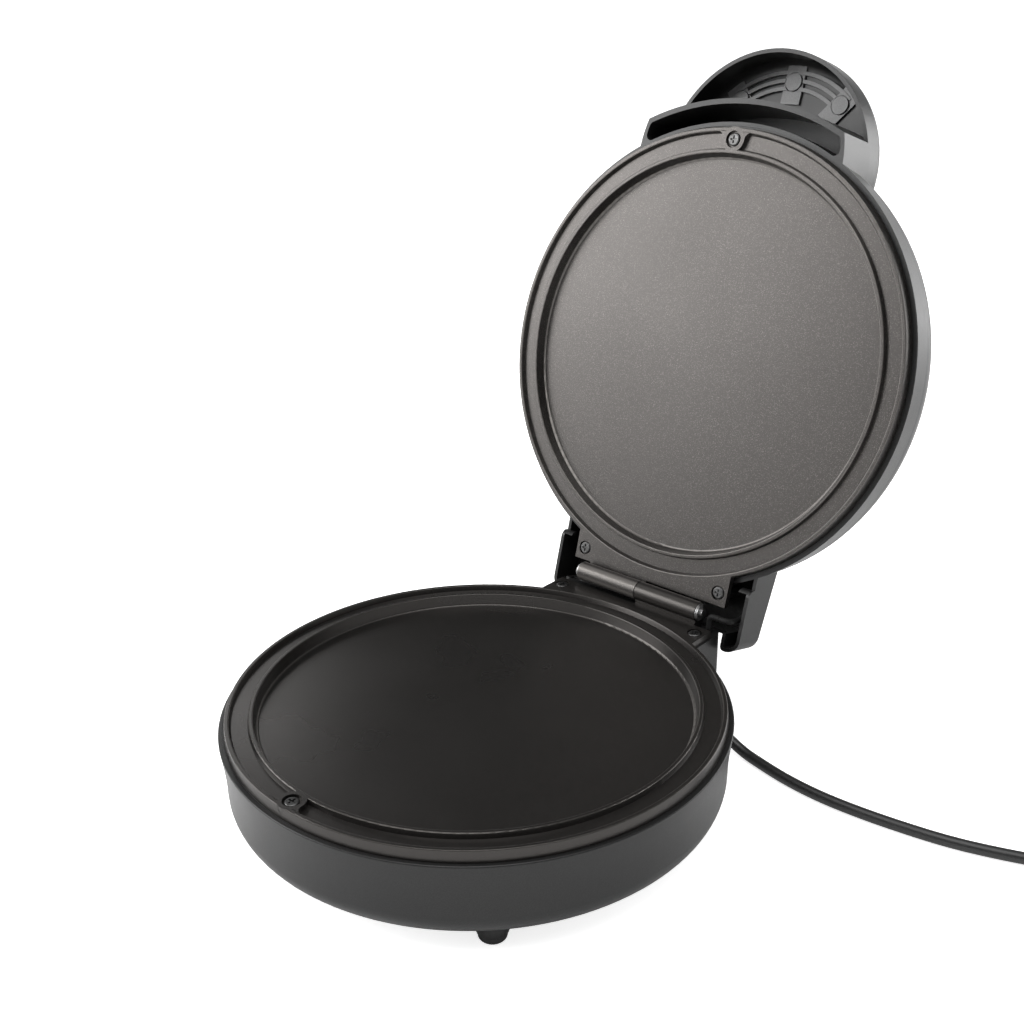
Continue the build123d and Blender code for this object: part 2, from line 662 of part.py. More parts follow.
def arms_body(inset):
    """Both arms beside the hinge with the cover between them, drawn in by the inset."""
    arm_end = ARM_Y - inset
    drop_z = RIM_Z - ARM_DROP
    cover_half = ARM_IN_X + ARM_WALL / 2 + inset
    with BuildPart(mode=Mode.PRIVATE) as made:
        for side in (-1, 1):
            for front_y, from_z, rise in (
                (ARM_ROOT_Y, RIM_Z, 2 * ARM_ROOF_H),
                (ARM_DROP_Y + inset, drop_z, ARM_DROP),
            ):
                with BuildSketch(Plane.XY.offset(from_z)) as plan:
                    with Locations((side * (ARM_OUT_X + ARM_IN_X) / 2, (front_y + arm_end) / 2)):
                        Rectangle(ARM_OUT_X - ARM_IN_X - 2 * inset, arm_end - front_y)
                    far_corners = plan.vertices().group_by(Axis.Y)[-1]
                    fillet(far_corners.sort_by(lambda v: abs(v.X))[-1], ARM_OUT_ROUND - inset)
                    far_corners = plan.vertices().group_by(Axis.Y)[-1]
                    fillet(far_corners.sort_by(lambda v: abs(v.X))[0], ARM_IN_ROUND - inset)
                extrude(amount=rise)
        if inset == 0:
            drop_fronts = made.edges().filter_by(Axis.X).filter_by(
                lambda e: abs(e.center().Y - ARM_DROP_Y) < 0.01 and e.center().Z < drop_z + 0.01
            )
            fillet(drop_fronts, ARM_DROP_ROUND)
        with BuildSketch(Plane.XY.offset(RIM_Z)):
            with Locations((0, (ARM_ROOT_Y + COVER_Y - inset) / 2)):
                Rectangle(2 * cover_half, COVER_Y - inset - ARM_ROOT_Y)
        extrude(amount=2 * ARM_ROOF_H)
        split(bisect_by=arm_roof.offset(-inset), keep=Keep.BOTTOM)
        if inset > 0:
            with BuildSketch(Plane.XY.offset(drop_z)):
                with Locations((-ARM_IN_X, ARM_DROP_Y), (ARM_IN_X, ARM_DROP_Y)):
                    Rectangle(4 * inset, 2 * (COVER_Y - inset - ARM_DROP_Y))
            extrude(amount=ARM_DROP)
    return made.part


lid_lip_z = LIP_Z + CLOSED_GAP
lid_ledge_z = lid_lip_z + RIM_DEPTH
lug_back_z = lid_lip_z + LUG_T
with BuildPart() as guard_round:
    with BuildSketch(Plane.XY.offset(RIM_Z)):
        Circle(GUARD_R)
    extrude(amount=3 * HOOD_TOP_H)
with BuildPart() as slot_room:
    with BuildSketch(Plane.XY.offset(RIM_Z)) as slot_plan:
        with Locations((0, HOOD_Y)):
            Circle(HOOD_FOOT_R - HOOD_WALL)
        Circle(GUARD_R - GUARD_T, mode=Mode.INTERSECT)
        Circle(LID_RIM_R, mode=Mode.SUBTRACT)
        fillet(slot_plan.vertices(), SLOT_ROUND)
    extrude(amount=HOOD_TOP_H - HOOD_ROUND)
    with BuildSketch(Plane.XY.offset(RIM_Z + LID_SIDE_H)):
        with Locations((0, HOOD_Y)):
            Circle(HOOD_FOOT_R - HOOD_WALL)
        Circle(GUARD_R - GUARD_T, mode=Mode.INTERSECT)
        Circle(LID_SIDE_R - LID_SHOULDER_R, mode=Mode.SUBTRACT)
    extrude(amount=HOOD_TOP_H - HOOD_ROUND - LID_SIDE_H)
lid_sleeve_route = [
    (SLEEVE_SPLIT_X + SLEEVE_GAP, HINGE_Y, HINGE_Z),
    (SLEEVE_LID_X, HINGE_Y, HINGE_Z),
    (SLEEVE_LID_X, HINGE_Y, RIM_Z + SLEEVE_RISE),
    (SLEEVE_LID_X, HINGE_Y - SLEEVE_RUN, RIM_Z + SLEEVE_RISE + SLEEVE_CLIMB),
    (SPLICE_X, SPLICE_Y + SPLICE_L / 2 + 12.0, SPLICE_Z),
    (SPLICE_X, SPLICE_Y + SPLICE_L / 2, SPLICE_Z),
]
with BuildPart() as lid_front_post:
    with BuildSketch(Plane.XY.offset(lid_ledge_z)):
        with Locations((0, -BOSS_Y)):
            Circle(POST_R)
    extrude(amount=HOOD_TOP_H)
with BuildPart() as lid_shell:
    add(hood_body(0))
    with BuildSketch(Plane.XY.offset(RIM_Z)):
        with Locations((0, HOOD_Y - HOOD_R)):
            Rectangle(4 * HOOD_R, 2 * HOOD_R)
        Circle(GUARD_R, mode=Mode.SUBTRACT)
    extrude(amount=HOOD_LIP_H, mode=Mode.SUBTRACT)
    add(hood_body(HOOD_WALL) - guard_round.part, mode=Mode.SUBTRACT)
    add(slot_room.part, mode=Mode.SUBTRACT)
    add(arms_body(0))
    add(arms_body(ARM_WALL), mode=Mode.SUBTRACT)
    add(dome_body(0))
    add(dome_body(LID_WALL), mode=Mode.SUBTRACT)
    with BuildSketch(Plane.XY.offset(lid_ledge_z)):
        Circle(LID_SIDE_R)
        Circle(LEDGE_R, mode=Mode.SUBTRACT)
    extrude(amount=LEDGE_T)
    add(lid_front_post.part & dome_body(LID_WALL / 2))
    with BuildSketch(Plane.XY.offset(lug_back_z)):
        with Locations((-LUG_SCREW_X, LUG_SCREW_Y), (LUG_SCREW_X, LUG_SCREW_Y)):
            Circle(POST_R)
    extrude(amount=RIM_Z + LID_POST_H - lug_back_z)
    with BuildSketch(Plane.XY.offset(RIM_Z)):
        with Locations((-LUG_SCREW_X, LUG_SCREW_Y - 5.0), (LUG_SCREW_X, LUG_SCREW_Y - 5.0)):
            Rectangle(ARM_WALL, 6.0)
    extrude(amount=LID_SIDE_H)
    with BuildSketch(Plane.XY.offset(lug_back_z)):
        with Locations((-LUG_SCREW_X, LUG_SCREW_Y), (LUG_SCREW_X, LUG_SCREW_Y)):
            Circle(SCREW_R + SCREW_FIT)
    extrude(amount=PILOT_DEPTH, mode=Mode.SUBTRACT)
    with BuildSketch(Plane.XY.offset(lid_ledge_z)):
        with Locations((0, -BOSS_Y)):
            Circle(SCREW_R + SCREW_FIT)
    extrude(amount=PILOT_DEPTH, mode=Mode.SUBTRACT)
    add(tube(lid_sleeve_route, SLEEVE_R + SLEEVE_GAP), mode=Mode.SUBTRACT)

# Frame of arc ribs, bars and studs against the hood's roof
frame_plane = roof_plane.offset(-HOOD_WALL)
frame_centre = (0, HOOD_Y - HOOD_FRONT_Y)
wedge_x = 2 * HOOD_R * sin(radians(FRAME_HALF_ANGLE))
wedge_y = frame_centre[1] - 2 * HOOD_R * cos(radians(FRAME_HALF_ANGLE))
with BuildPart() as handle_frame:
    for rib in range(FRAME_ARC_COUNT):
        arc_r = FRAME_OUTER_ARC - rib * FRAME_ARC_STEP
        with BuildSketch(frame_plane):
            with Locations(frame_centre):
                Circle(arc_r + FRAME_RIB_W / 2)
                Circle(arc_r - FRAME_RIB_W / 2, mode=Mode.SUBTRACT)
            Polygon(
                frame_centre, (-wedge_x, wedge_y), (wedge_x, wedge_y), align=None, mode=Mode.INTERSECT
            )
        extrude(amount=-FRAME_RIB_H)
    for bar_angle in (-FRAME_BAR_ANGLE, 0, FRAME_BAR_ANGLE):
        with BuildSketch(frame_plane):
            with Locations(Location((*frame_centre, 0), (0, 0, bar_angle))):
                with Locations((0, -(FRAME_BAR_IN_R + FRAME_BAR_OUT_R) / 2)):
                    Rectangle(FRAME_BAR_W, FRAME_BAR_OUT_R - FRAME_BAR_IN_R)
        extrude(amount=-FRAME_BAR_T)
        with BuildSketch(frame_plane):
            with Locations(Location((*frame_centre, 0), (0, 0, bar_angle))):
                with Locations((0, -FRAME_STUD_CENTRE_R)):
                    Circle(FRAME_STUD_R)
        extrude(amount=-FRAME_RIB_H - FRAME_STUD_H)
        with BuildSketch(frame_plane.offset(-FRAME_STUD_FLOOR)):
            with Locations(Location((*frame_centre, 0), (0, 0, bar_angle))):
                with Locations((0, -FRAME_STUD_CENTRE_R)):
                    Circle(FRAME_STUD_R + FRAME_STUD_GROOVE)
                    Circle(FRAME_STUD_R, mode=Mode.SUBTRACT)
        extrude(amount=-FRAME_RIB_H, mode=Mode.SUBTRACT)
    with BuildSketch(Plane.XY.offset(RIM_Z)):
        Circle(GUARD_R + FRAME_GUARD_GAP)
    extrude(amount=2 * HOOD_TOP_H, mode=Mode.SUBTRACT)
    add(hood_body(HOOD_WALL), mode=Mode.INTERSECT)

# Hinge pin with a head at its lid end and a clip at its base end
washer_x = BARREL_LEN + END_PLAY
clip_x = washer_x + WASHER_T
with BuildPart() as hinge_pin:
    with BuildSketch(Plane.YZ.offset(-clip_x)):
        with Locations((HINGE_Y, HINGE_Z)):
            Circle(PIN_R)
    extrude(amount=2 * clip_x + CLIP_T + PIN_TAIL)
    with BuildSketch(Plane.YZ.offset(clip_x)):
        with Locations((HINGE_Y, HINGE_Z)):
            Circle(PIN_R)
            Circle(PIN_R - CLIP_GROOVE_DEPTH, mode=Mode.SUBTRACT)
    extrude(amount=CLIP_T, mode=Mode.SUBTRACT)
    with BuildSketch(Plane.YZ.offset(-clip_x - PIN_HEAD_T)):
        with Locations((HINGE_Y, HINGE_Z)):
            Circle(PIN_HEAD_R)
    extrude(amount=PIN_HEAD_T)
    fillet(hinge_pin.edges().group_by(Axis.X)[0], PIN_HEAD_T / 2)
with BuildPart() as hinge_washers:
    for face_x in (-clip_x, washer_x):
        with BuildSketch(Plane.YZ.offset(face_x)):
            with Locations((HINGE_Y, HINGE_Z)):
                Circle(WASHER_R)
                Circle(PIN_R + PIN_CLEAR, mode=Mode.SUBTRACT)
        extrude(amount=WASHER_T)
with BuildPart() as hinge_clip:
    with BuildSketch(Plane.YZ.offset(clip_x)):
        with Locations((HINGE_Y, HINGE_Z)):
            Circle(CLIP_R)
            Circle(PIN_R - CLIP_GROOVE_DEPTH + PIN_CLEAR, mode=Mode.SUBTRACT)
        with Locations((HINGE_Y, HINGE_Z + CLIP_R)):
            Rectangle(PIN_R, 2 * CLIP_R, mode=Mode.SUBTRACT)
    extrude(amount=CLIP_T)

# Screws of the plates and of the shields
base_front_screw = screw_at(0, -BOSS_Y, LIP_Z - BOSS_RECESS_DEPTH)
lug_head_z = LIP_Z - LUG_RECESS_DEPTH
with BuildPart() as base_lug_screws:
    add(screw_at(-LUG_SCREW_X, LUG_SCREW_Y, lug_head_z))
    add(screw_at(LUG_SCREW_X, LUG_SCREW_Y, lug_head_z))
with BuildPart() as base_shield_screws:
    for post in range(3):
        post_x, post_y = ring_point(SHIELD_POST_CENTRE_R, 90 + 120 * post)
        add(screw_at(post_x, post_y, shield_z - SHIELD_T, pointing_up=True))

# Terminal block on the tub's floor, with its screws
block_z = TUB_BOTTOM_Z + TUB_WALL
block_top = block_z + BLOCK_H
block_screws = [(BLOCK_X + step * BLOCK_L / 4, BLOCK_Y) for step in (-1.2, 0, 1.2)]
with BuildPart() as terminal_block:
    with BuildSketch(Plane.XY.offset(block_z)):
        with Locations((BLOCK_X, BLOCK_Y)):
            Rectangle(BLOCK_L, BLOCK_W)
    extrude(amount=BLOCK_H)
    chamfer(terminal_block.edges().group_by(Axis.Z)[-1], 1.0)
    with BuildSketch(Plane.XY.offset(block_top)):
        with Locations(*block_screws):
            Circle(BLOCK_SCREW_R + SCREW_FIT)
    extrude(amount=-BLOCK_SCREW_DEPTH, mode=Mode.SUBTRACT)
with BuildPart() as terminal_screws:
    with BuildSketch(Plane.XY.offset(block_top - BLOCK_SCREW_DEPTH)):
        with Locations(*block_screws):
            Circle(BLOCK_SCREW_R)
    extrude(amount=BLOCK_SCREW_DEPTH - 1.5)
    with BuildSketch(Plane.XY.offset(block_top - 2.5)):
        with Locations(*block_screws):
            Rectangle(2 * BLOCK_SCREW_R, 0.8)
    extrude(amount=1.0, mode=Mode.SUBTRACT)

# Leads inside the base: mains to block, block to thermostat, fuse and heating rod
rod_tip_x, rod_tip_y = ring_point(ROD_RING_R, 90 - ROD_GAP_ANGLE)
rod_tip_z = rod_z - ROD_LEG - TERMINAL_LEN
blade_tip_z = plate_under - THERMOSTAT_H - TERMINAL_LEN
lead_z = block_z + BLOCK_H / 2
block_front = BLOCK_Y - BLOCK_W / 2
block_back = BLOCK_Y + BLOCK_W / 2
inner_face_x = TOWER_HALF_W - TUB_WALL - GLAND_FLANGE_T
mains_x = inner_face_x - LEAD_R / 3
thermostat_lead_x = BLOCK_X - 0.3 * BLOCK_L
fuse_turn_x = FUSE_X - 1.5 * FUSE_LEN
with BuildPart() as base_leads:
    add(tube([
        (rod_tip_x, rod_tip_y, rod_tip_z),
        (rod_tip_x, rod_tip_y, lead_z),
        (rod_tip_x, block_front, lead_z),
    ], LEAD_R))
    add(tube([
        (BLADE_OFFSET, THERMOSTAT_Y, blade_tip_z),
        (BLADE_OFFSET, THERMOSTAT_Y, blade_tip_z - LEAD_DROP),
        (thermostat_lead_x, (THERMOSTAT_Y + block_front) / 2, lead_z),
        (thermostat_lead_x, block_front, lead_z),
    ], LEAD_R))
    add(tube([
        (-BLADE_OFFSET, THERMOSTAT_Y, blade_tip_z),
        (-BLADE_OFFSET, THERMOSTAT_Y, FUSE_Z),
        (FUSE_X + FUSE_LEN / 2, THERMOSTAT_Y, FUSE_Z),
    ], LEAD_R))
    add(tube([
        (FUSE_X - FUSE_LEN / 2, THERMOSTAT_Y, FUSE_Z),
        (fuse_turn_x, THERMOSTAT_Y, FUSE_Z),
        (fuse_turn_x, 0.8 * rod_tip_y, block_top),
        (-rod_tip_x, rod_tip_y, rod_tip_z - TERMINAL_LEN),
        (-rod_tip_x, rod_tip_y, rod_tip_z),
    ], LEAD_R))
    add(tube([
        (mains_x, EXIT_Y - LEAD_R, EXIT_Z + 2.5 * LEAD_R),
        (BLOCK_X + 0.4 * BLOCK_L, 0.97 * EXIT_Y, lead_z + LEAD_R),
        (BLOCK_X + 0.4 * BLOCK_L, block_back, lead_z + LEAD_R),
    ], LEAD_R))
    add(tube([
        (mains_x, EXIT_Y - 2.5 * LEAD_R, EXIT_Z - 1.25 * LEAD_R),
        (BLOCK_X - 0.15 * BLOCK_L, 0.94 * EXIT_Y, block_z + 2.5 * LEAD_R),
        (BLOCK_X - 0.15 * BLOCK_L, block_back, block_z + 2.5 * LEAD_R),
    ], LEAD_R))

# Sleeved lead that crosses the hinge on its axis, in a base half and a lid half
with BuildPart() as lead_sleeve_base:
    add(tube([
        (SLEEVE_SPLIT_X, HINGE_Y, HINGE_Z),
        (SLEEVE_RISER_X, HINGE_Y, HINGE_Z),
        (SLEEVE_RISER_X, HINGE_Y, LIP_Z - SLEEVE_DROP),
        (BLOCK_X + 0.35 * BLOCK_L, HINGE_Y - 3 * SLEEVE_R, LIP_Z / 2),
        (BLOCK_X + 0.2 * BLOCK_L, 0.94 * EXIT_Y, lead_z + LEAD_R),
        (BLOCK_X + 0.2 * BLOCK_L, block_back, lead_z + LEAD_R),
    ], SLEEVE_R))
with BuildPart() as lead_sleeve_lid:
    add(tube(lid_sleeve_route, SLEEVE_R))
with BuildPart() as lid_splice:
    with Locations((SPLICE_X, SPLICE_Y, SPLICE_Z)):
        Box(SPLICE_W, SPLICE_L, SPLICE_H)
    fillet(lid_splice.edges().filter_by(Axis.Y), SPLICE_H * 0.22)
splice_front = SPLICE_Y - SPLICE_L / 2
lid_tip_z = 2 * HINGE_Z - rod_tip_z
with BuildPart() as lid_leads:
    for lead_x, turn_x, end_x, rise in (
        (SPLICE_X - SPLICE_W / 4, SPLICE_X - 1.2 * SPLICE_W, rod_tip_x, LEAD_RISE),
        (SPLICE_X + SPLICE_W / 4, SPLICE_X - 0.7 * SPLICE_W, -rod_tip_x, 1.5 * LEAD_RISE),
    ):
        add(tube([
            (lead_x, splice_front, SPLICE_Z),
            (lead_x, splice_front - SPLICE_H, SPLICE_Z),
            (turn_x, rod_tip_y, SPLICE_Z + rise),
            (end_x, rod_tip_y, SPLICE_Z + rise),
            (end_x, rod_tip_y, lid_tip_z),
        ], LEAD_R))

# Strain relief: a flange inside the wall and a ringed taper outside it
gland_tip = exit_point + exit_way * GLAND_LEN
with BuildPart() as strain_relief:
    with BuildSketch(exit_plane):
        Circle(GLAND_R)
    with BuildSketch(exit_plane.offset(GLAND_LEN)):
        Circle(GLAND_TIP_R)
    loft()
    with BuildSketch(exit_plane):
        Circle(GLAND_R)
    extrude(amount=-2 * TUB_WALL)
    with BuildSketch(Plane.YZ.offset(TOWER_HALF_W - TUB_WALL - GLAND_FLANGE_T - 10)):
        with Locations((EXIT_Y, EXIT_Z + 1)):
            Rectangle(40, 40)
    extrude(amount=10, mode=Mode.SUBTRACT)
    with BuildSketch(Plane.YZ.offset(inner_face_x)):
        with Locations((EXIT_Y, EXIT_Z + TUB_WALL * tan(radians(EXIT_DROP)))):
            Circle(GLAND_FLANGE_R)
    extrude(amount=GLAND_FLANGE_T)
    for ring in range(GLAND_RINGS):
        ring_at = 4.0 + ring * (GLAND_LEN - 8.0) / (GLAND_RINGS - 0.5)
        with BuildSketch(exit_plane.offset(ring_at)):
            Circle(GLAND_R)
            Circle(CORD_R + 0.4, mode=Mode.SUBTRACT)
        extrude(amount=GLAND_RING_W)

# Mains cord on the table, with its put-away coil and its plug
table_x = gland_tip.X + (gland_tip.Z - CORD_Z) / tan(radians(EXIT_DROP))
coil_in = (COIL_X - 2 * CORD_R, COIL_Y - COIL_OUT_R, CORD_Z)
cord_route = [
    tuple(gland_tip),
    (table_x, EXIT_Y, CORD_Z),
    (127, 144.5, CORD_Z),
    (150, 139.5, CORD_Z),
    (176, 137.3, CORD_Z),
    (203, 138.6, CORD_Z),
    (230, 142, CORD_Z),
    (260, 147.5, CORD_Z),
    (287, 156.5, CORD_Z),
    (312, 166.8, CORD_Z),
    (336, 175.0, CORD_Z),
    coil_in,
]
print("cord radii", [round(value, 1) for value in arc_radii(cord_route)])
with BuildPart() as power_cord:
    with BuildLine() as cord_line:
        FilletPolyline(*cord_route, radius=arc_radii(cord_route))
    with BuildSketch(Plane(origin=cord_line.line @ 0, z_dir=cord_line.line % 0)):
        Circle(CORD_R)
    sweep(path=cord_line.line)
print("cord length", cord_line.wire().length)
print("cord volume over section", power_cord.part.volume / (pi * CORD_R**2))

upper_z = CORD_Z + COIL_PITCH
half_pitch = COIL_PITCH / 2
inner_r = COIL_OUT_R - COIL_PITCH
middle_r = COIL_OUT_R - half_pitch
climb_reach = sqrt(inner_r**2 + half_pitch**2)
with BuildPart() as cord_coil:
    with BuildLine() as coil_line:
        Line(coil_in, (COIL_X, COIL_Y - COIL_OUT_R, CORD_Z))
        ThreePointArc(
            (COIL_X, COIL_Y - COIL_OUT_R, CORD_Z),
            (COIL_X + COIL_OUT_R, COIL_Y, CORD_Z),
            (COIL_X, COIL_Y + COIL_OUT_R, CORD_Z),
        )
        ThreePointArc(
            (COIL_X, COIL_Y + COIL_OUT_R, CORD_Z),
            (COIL_X - middle_r, COIL_Y + half_pitch, CORD_Z),
            (COIL_X, COIL_Y - inner_r, CORD_Z),
        )
        joint = (COIL_X + climb_reach, COIL_Y, CORD_Z + half_pitch)
        TangentArc((COIL_X, COIL_Y - inner_r, CORD_Z), joint, tangent=(1, 0, 0))
        TangentArc(joint, (COIL_X, COIL_Y + inner_r, upper_z), tangent=(0, inner_r, half_pitch))
        ThreePointArc(
            (COIL_X, COIL_Y + inner_r, upper_z),
            (COIL_X - middle_r, COIL_Y - half_pitch, upper_z),
            (COIL_X, COIL_Y - COIL_OUT_R, upper_z),
        )
        ThreePointArc(
            (COIL_X, COIL_Y - COIL_OUT_R, upper_z),
            (COIL_X + COIL_OUT_R / sqrt(2), COIL_Y - COIL_OUT_R / sqrt(2), upper_z),
            (COIL_X + COIL_OUT_R, COIL_Y, upper_z),
        )
        Line((COIL_X + COIL_OUT_R, COIL_Y, upper_z), (COIL_X + COIL_OUT_R, COIL_Y + COIL_END, upper_z))
    with BuildSketch(Plane(origin=coil_in, z_dir=(1, 0, 0))):
        Circle(CORD_R)
    sweep(path=coil_line.line)
print("coil length", coil_line.wire().length)
print("coil volume over section", cord_coil.part.volume / (pi * CORD_R**2))
coil_wire = coil_line.wire()
coil_steps = [coil_wire @ (step / 400) for step in range(401)]
apart = int(400 * 4 * CORD_R / coil_wire.length) + 1
least = min(
    (first - second).length
    for index, first in enumerate(coil_steps)
    for second in coil_steps[index + apart:]
)
print("coil's least gap to itself", least - 2 * CORD_R)

# Three-pin plug: body on the table, neck round the cord, two blades and an earth pin
neck_y = COIL_Y + COIL_END
plug_x = COIL_X + COIL_OUT_R
plug_y = neck_y + PLUG_NECK_LEN
plug_face = plug_y + PLUG_L
with BuildPart() as plug_body:
    with BuildSketch(Plane.XZ.offset(-plug_y)) as plug_outline:
        with Locations((plug_x, upper_z)):
            Rectangle(PLUG_W, 2 * upper_z)
        fillet(plug_outline.vertices(), PLUG_ROUND)
    extrude(amount=-PLUG_L)
    fillet(plug_body.edges().group_by(Axis.Y)[0], PLUG_ROUND / 2)
    fillet(plug_body.edges().group_by(Axis.Y)[-1], PLUG_ROUND / 4)
    with BuildSketch(Plane.XZ.offset(-neck_y)):
        with Locations((plug_x, upper_z)):
            Circle(CORD_R + 0.8)
    with BuildSketch(Plane.XZ.offset(-plug_y - 1)):
        with Locations((plug_x, upper_z)):
            Circle(PLUG_NECK_R)
    loft()
blade_z = upper_z + BLADE_RISE
earth_z = blade_z - EARTH_PIN_DROP
with BuildPart() as plug_pins:
    with BuildSketch(Plane.XZ.offset(-plug_face)):
        with Locations((plug_x - BLADE_SPREAD / 2, blade_z), (plug_x + BLADE_SPREAD / 2, blade_z)):
            Rectangle(BLADE_T, BLADE_W)
    extrude(amount=-BLADE_LEN)
    chamfer(plug_pins.edges().group_by(Axis.Y)[-1], BLADE_T / 4)
    with BuildSketch(Plane.XZ.offset(-plug_face)):
        with Locations((plug_x, earth_z)):
            Circle(EARTH_PIN_R)
    extrude(amount=-EARTH_PIN_LEN)
    fillet(plug_pins.edges().group_by(Axis.Y)[-1], EARTH_PIN_R * 0.6)

# The upper plate and its fittings are the lower ones turned over about the hinge line
TURN_OVER = Location((0, 0, 2 * HINGE_Z), (0, 180, 0))
STAND = Location((0, CENTRE_SHIFT, 0))
OPENED = (
    STAND
    * Location((0, HINGE_Y, HINGE_Z))
    * Location((0, 0, 0), (-OPEN_ANGLE, 0, 0))
    * Location((0, -HINGE_Y, -HINGE_Z))
)
base_pieces = {
    "base_shell": base_shell.part,
    "base_plate": base_plate.part,
    "base_heating_rod": base_heating_rod.part,
    "base_heat_shield": base_heat_shield.part,
    "base_shield_screws": base_shield_screws.part,
    "base_front_screw": base_front_screw,
    "base_lug_screws": base_lug_screws.part,
    "thermostat": thermostat.part,
    "thermal_fuse": thermal_fuse.part,
    "terminal_block": terminal_block.part,
    "terminal_screws": terminal_screws.part,
    "base_leads": base_leads.part,
    "lead_sleeve_base": lead_sleeve_base.part,
    "foot_pads": foot_pads.part,
    "hinge_pin": hinge_pin.part,
    "hinge_washers": hinge_washers.part,
    "hinge_clip": hinge_clip.part,
    "strain_relief": strain_relief.part,
    "power_cord": power_cord.part,
    "cord_coil": cord_coil.part,
    "plug_body": plug_body.part,
    "plug_pins": plug_pins.part,
}
lid_pieces = {
    "lid_shell": lid_shell.part,
    "handle_frame": handle_frame.part,
    "lead_sleeve_lid": lead_sleeve_lid.part,
    "lid_splice": lid_splice.part,
    "lid_leads": lid_leads.part,
    "lid_plate": base_plate.part.moved(TURN_OVER),
    "lid_heating_rod": base_heating_rod.part.moved(TURN_OVER),
    "lid_heat_shield": base_heat_shield.part.moved(TURN_OVER),
    "lid_shield_screws": base_shield_screws.part.moved(TURN_OVER),
    "lid_front_screw": base_front_screw.moved(TURN_OVER),
    "lid_lug_screws": base_lug_screws.part.moved(TURN_OVER),
}
reach = []
for pieces, place in ((base_pieces, STAND), (lid_pieces, OPENED)):
    for name, shape in pieces.items():
        placed = shape.moved(place)
        placed.label = name
        export_step(placed, f"parts/{name}.step")
        if not placed.is_valid or min(solid.volume for solid in placed.solids()) <= 0:
            print("unsound", name)
        print(name, len(placed.solids()), round(placed.volume, 1))
        if name not in ("power_cord", "cord_coil", "plug_body", "plug_pins", "strain_relief"):
            reach.append(placed.bounding_box())
print("x", min(box.min.X for box in reach), max(box.max.X for box in reach))
print("y", min(box.min.Y for box in reach), max(box.max.Y for box in reach))
print("z", min(box.min.Z for box in reach), max(box.max.Z for box in reach))
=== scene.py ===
# %% [markdown]
# # An open pizza maker in a white studio
# This lesson dresses a finished, measured model of a countertop pizza maker. The solids
# come in as a fixed frame, in metres, so nothing here changes their size or place. Every
# step adds light, a finish or a fine piece, and then prints what it made.

# %% Load the frame
import json
from math import cos, pi, radians, sin

import bpy
from mathutils import Matrix, Vector


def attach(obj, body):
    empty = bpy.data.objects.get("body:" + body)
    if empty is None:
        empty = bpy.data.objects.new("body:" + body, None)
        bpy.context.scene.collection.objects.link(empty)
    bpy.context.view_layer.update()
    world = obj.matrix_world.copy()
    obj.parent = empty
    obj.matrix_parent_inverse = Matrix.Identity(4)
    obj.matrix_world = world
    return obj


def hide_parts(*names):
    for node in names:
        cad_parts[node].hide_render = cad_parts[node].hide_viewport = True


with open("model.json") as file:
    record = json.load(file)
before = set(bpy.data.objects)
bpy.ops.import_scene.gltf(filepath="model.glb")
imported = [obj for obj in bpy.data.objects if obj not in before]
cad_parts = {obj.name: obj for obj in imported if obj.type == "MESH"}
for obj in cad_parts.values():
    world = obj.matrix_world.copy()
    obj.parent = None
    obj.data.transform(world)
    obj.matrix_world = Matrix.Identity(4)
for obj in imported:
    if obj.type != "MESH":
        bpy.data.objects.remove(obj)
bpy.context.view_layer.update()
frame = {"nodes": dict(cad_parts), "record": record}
nodes = frame["nodes"]
print("nodes loaded:", len(nodes))

# %% [markdown]
# ## The camera
# The camera comes first, because everything after it is judged through it. Its place,
# turn and focal length could be found by eye, but four guesses fight each other. Here
# they come from solving where a lens must stand for two equal round plates, one lying
# flat and one leaning back on a hinge, to look as they do. Three angles describe the aim.

# %% Camera
AIM_TURN = radians(42.18)
AIM_DOWN = radians(-22.915)
AIM_ROLL = radians(-0.884)
ahead = Vector((-sin(AIM_TURN) * cos(AIM_DOWN), cos(AIM_TURN) * cos(AIM_DOWN), sin(AIM_DOWN)))
level = Vector((cos(AIM_TURN), sin(AIM_TURN), 0))
upright = level.cross(ahead)
side = cos(AIM_ROLL) * level + sin(AIM_ROLL) * upright
top = cos(AIM_ROLL) * upright - sin(AIM_ROLL) * level
lens_data = bpy.data.cameras.new("studio_camera")
lens_data.sensor_width = 36
lens_data.lens = 44.65
studio_camera = bpy.data.objects.new("studio_camera", lens_data)
studio_camera.matrix_world = Matrix.Translation((0.49196, -0.60157, 0.50030)) @ Matrix(
    (side, top, -ahead)
).transposed().to_4x4()
bpy.context.scene.collection.objects.link(studio_camera)
bpy.context.scene.camera = studio_camera
print("camera at", tuple(round(value, 3) for value in studio_camera.location))

# %% [markdown]
# ## The mains cord
# A mains lead is one fixed length of rubber-covered wire, so it is one curve with one
# thickness. A mesh tube would need its own smooth path, while a NURBS spline already is
# one: its control points pull the line without being touched by it, which is how a
# springy lead lies. The lead leaves its ringed strain relief, drops to the table and runs
# to the rest of its length, wound up and put away beyond the picture's edge. Each point
# carries the cord's radius, which a bevel of one metre is multiplied by.

# %% Route of the cord
CORD_R = 0.0038
CORD_Z = 0.0039
cord_points = [
    (0.09325, 0.0550, 0.0115),
    (0.10641, 0.0550, CORD_Z),
    (0.1270, 0.0495, CORD_Z),
    (0.1500, 0.0445, CORD_Z),
    (0.1760, 0.0423, CORD_Z),
    (0.2030, 0.0436, CORD_Z),
    (0.2300, 0.0470, CORD_Z),
    (0.2600, 0.0525, CORD_Z),
    (0.2870, 0.0615, CORD_Z),
    (0.3120, 0.0718, CORD_Z),
    (0.3360, 0.0800, CORD_Z),
    (0.3644, 0.0800, CORD_Z),
]

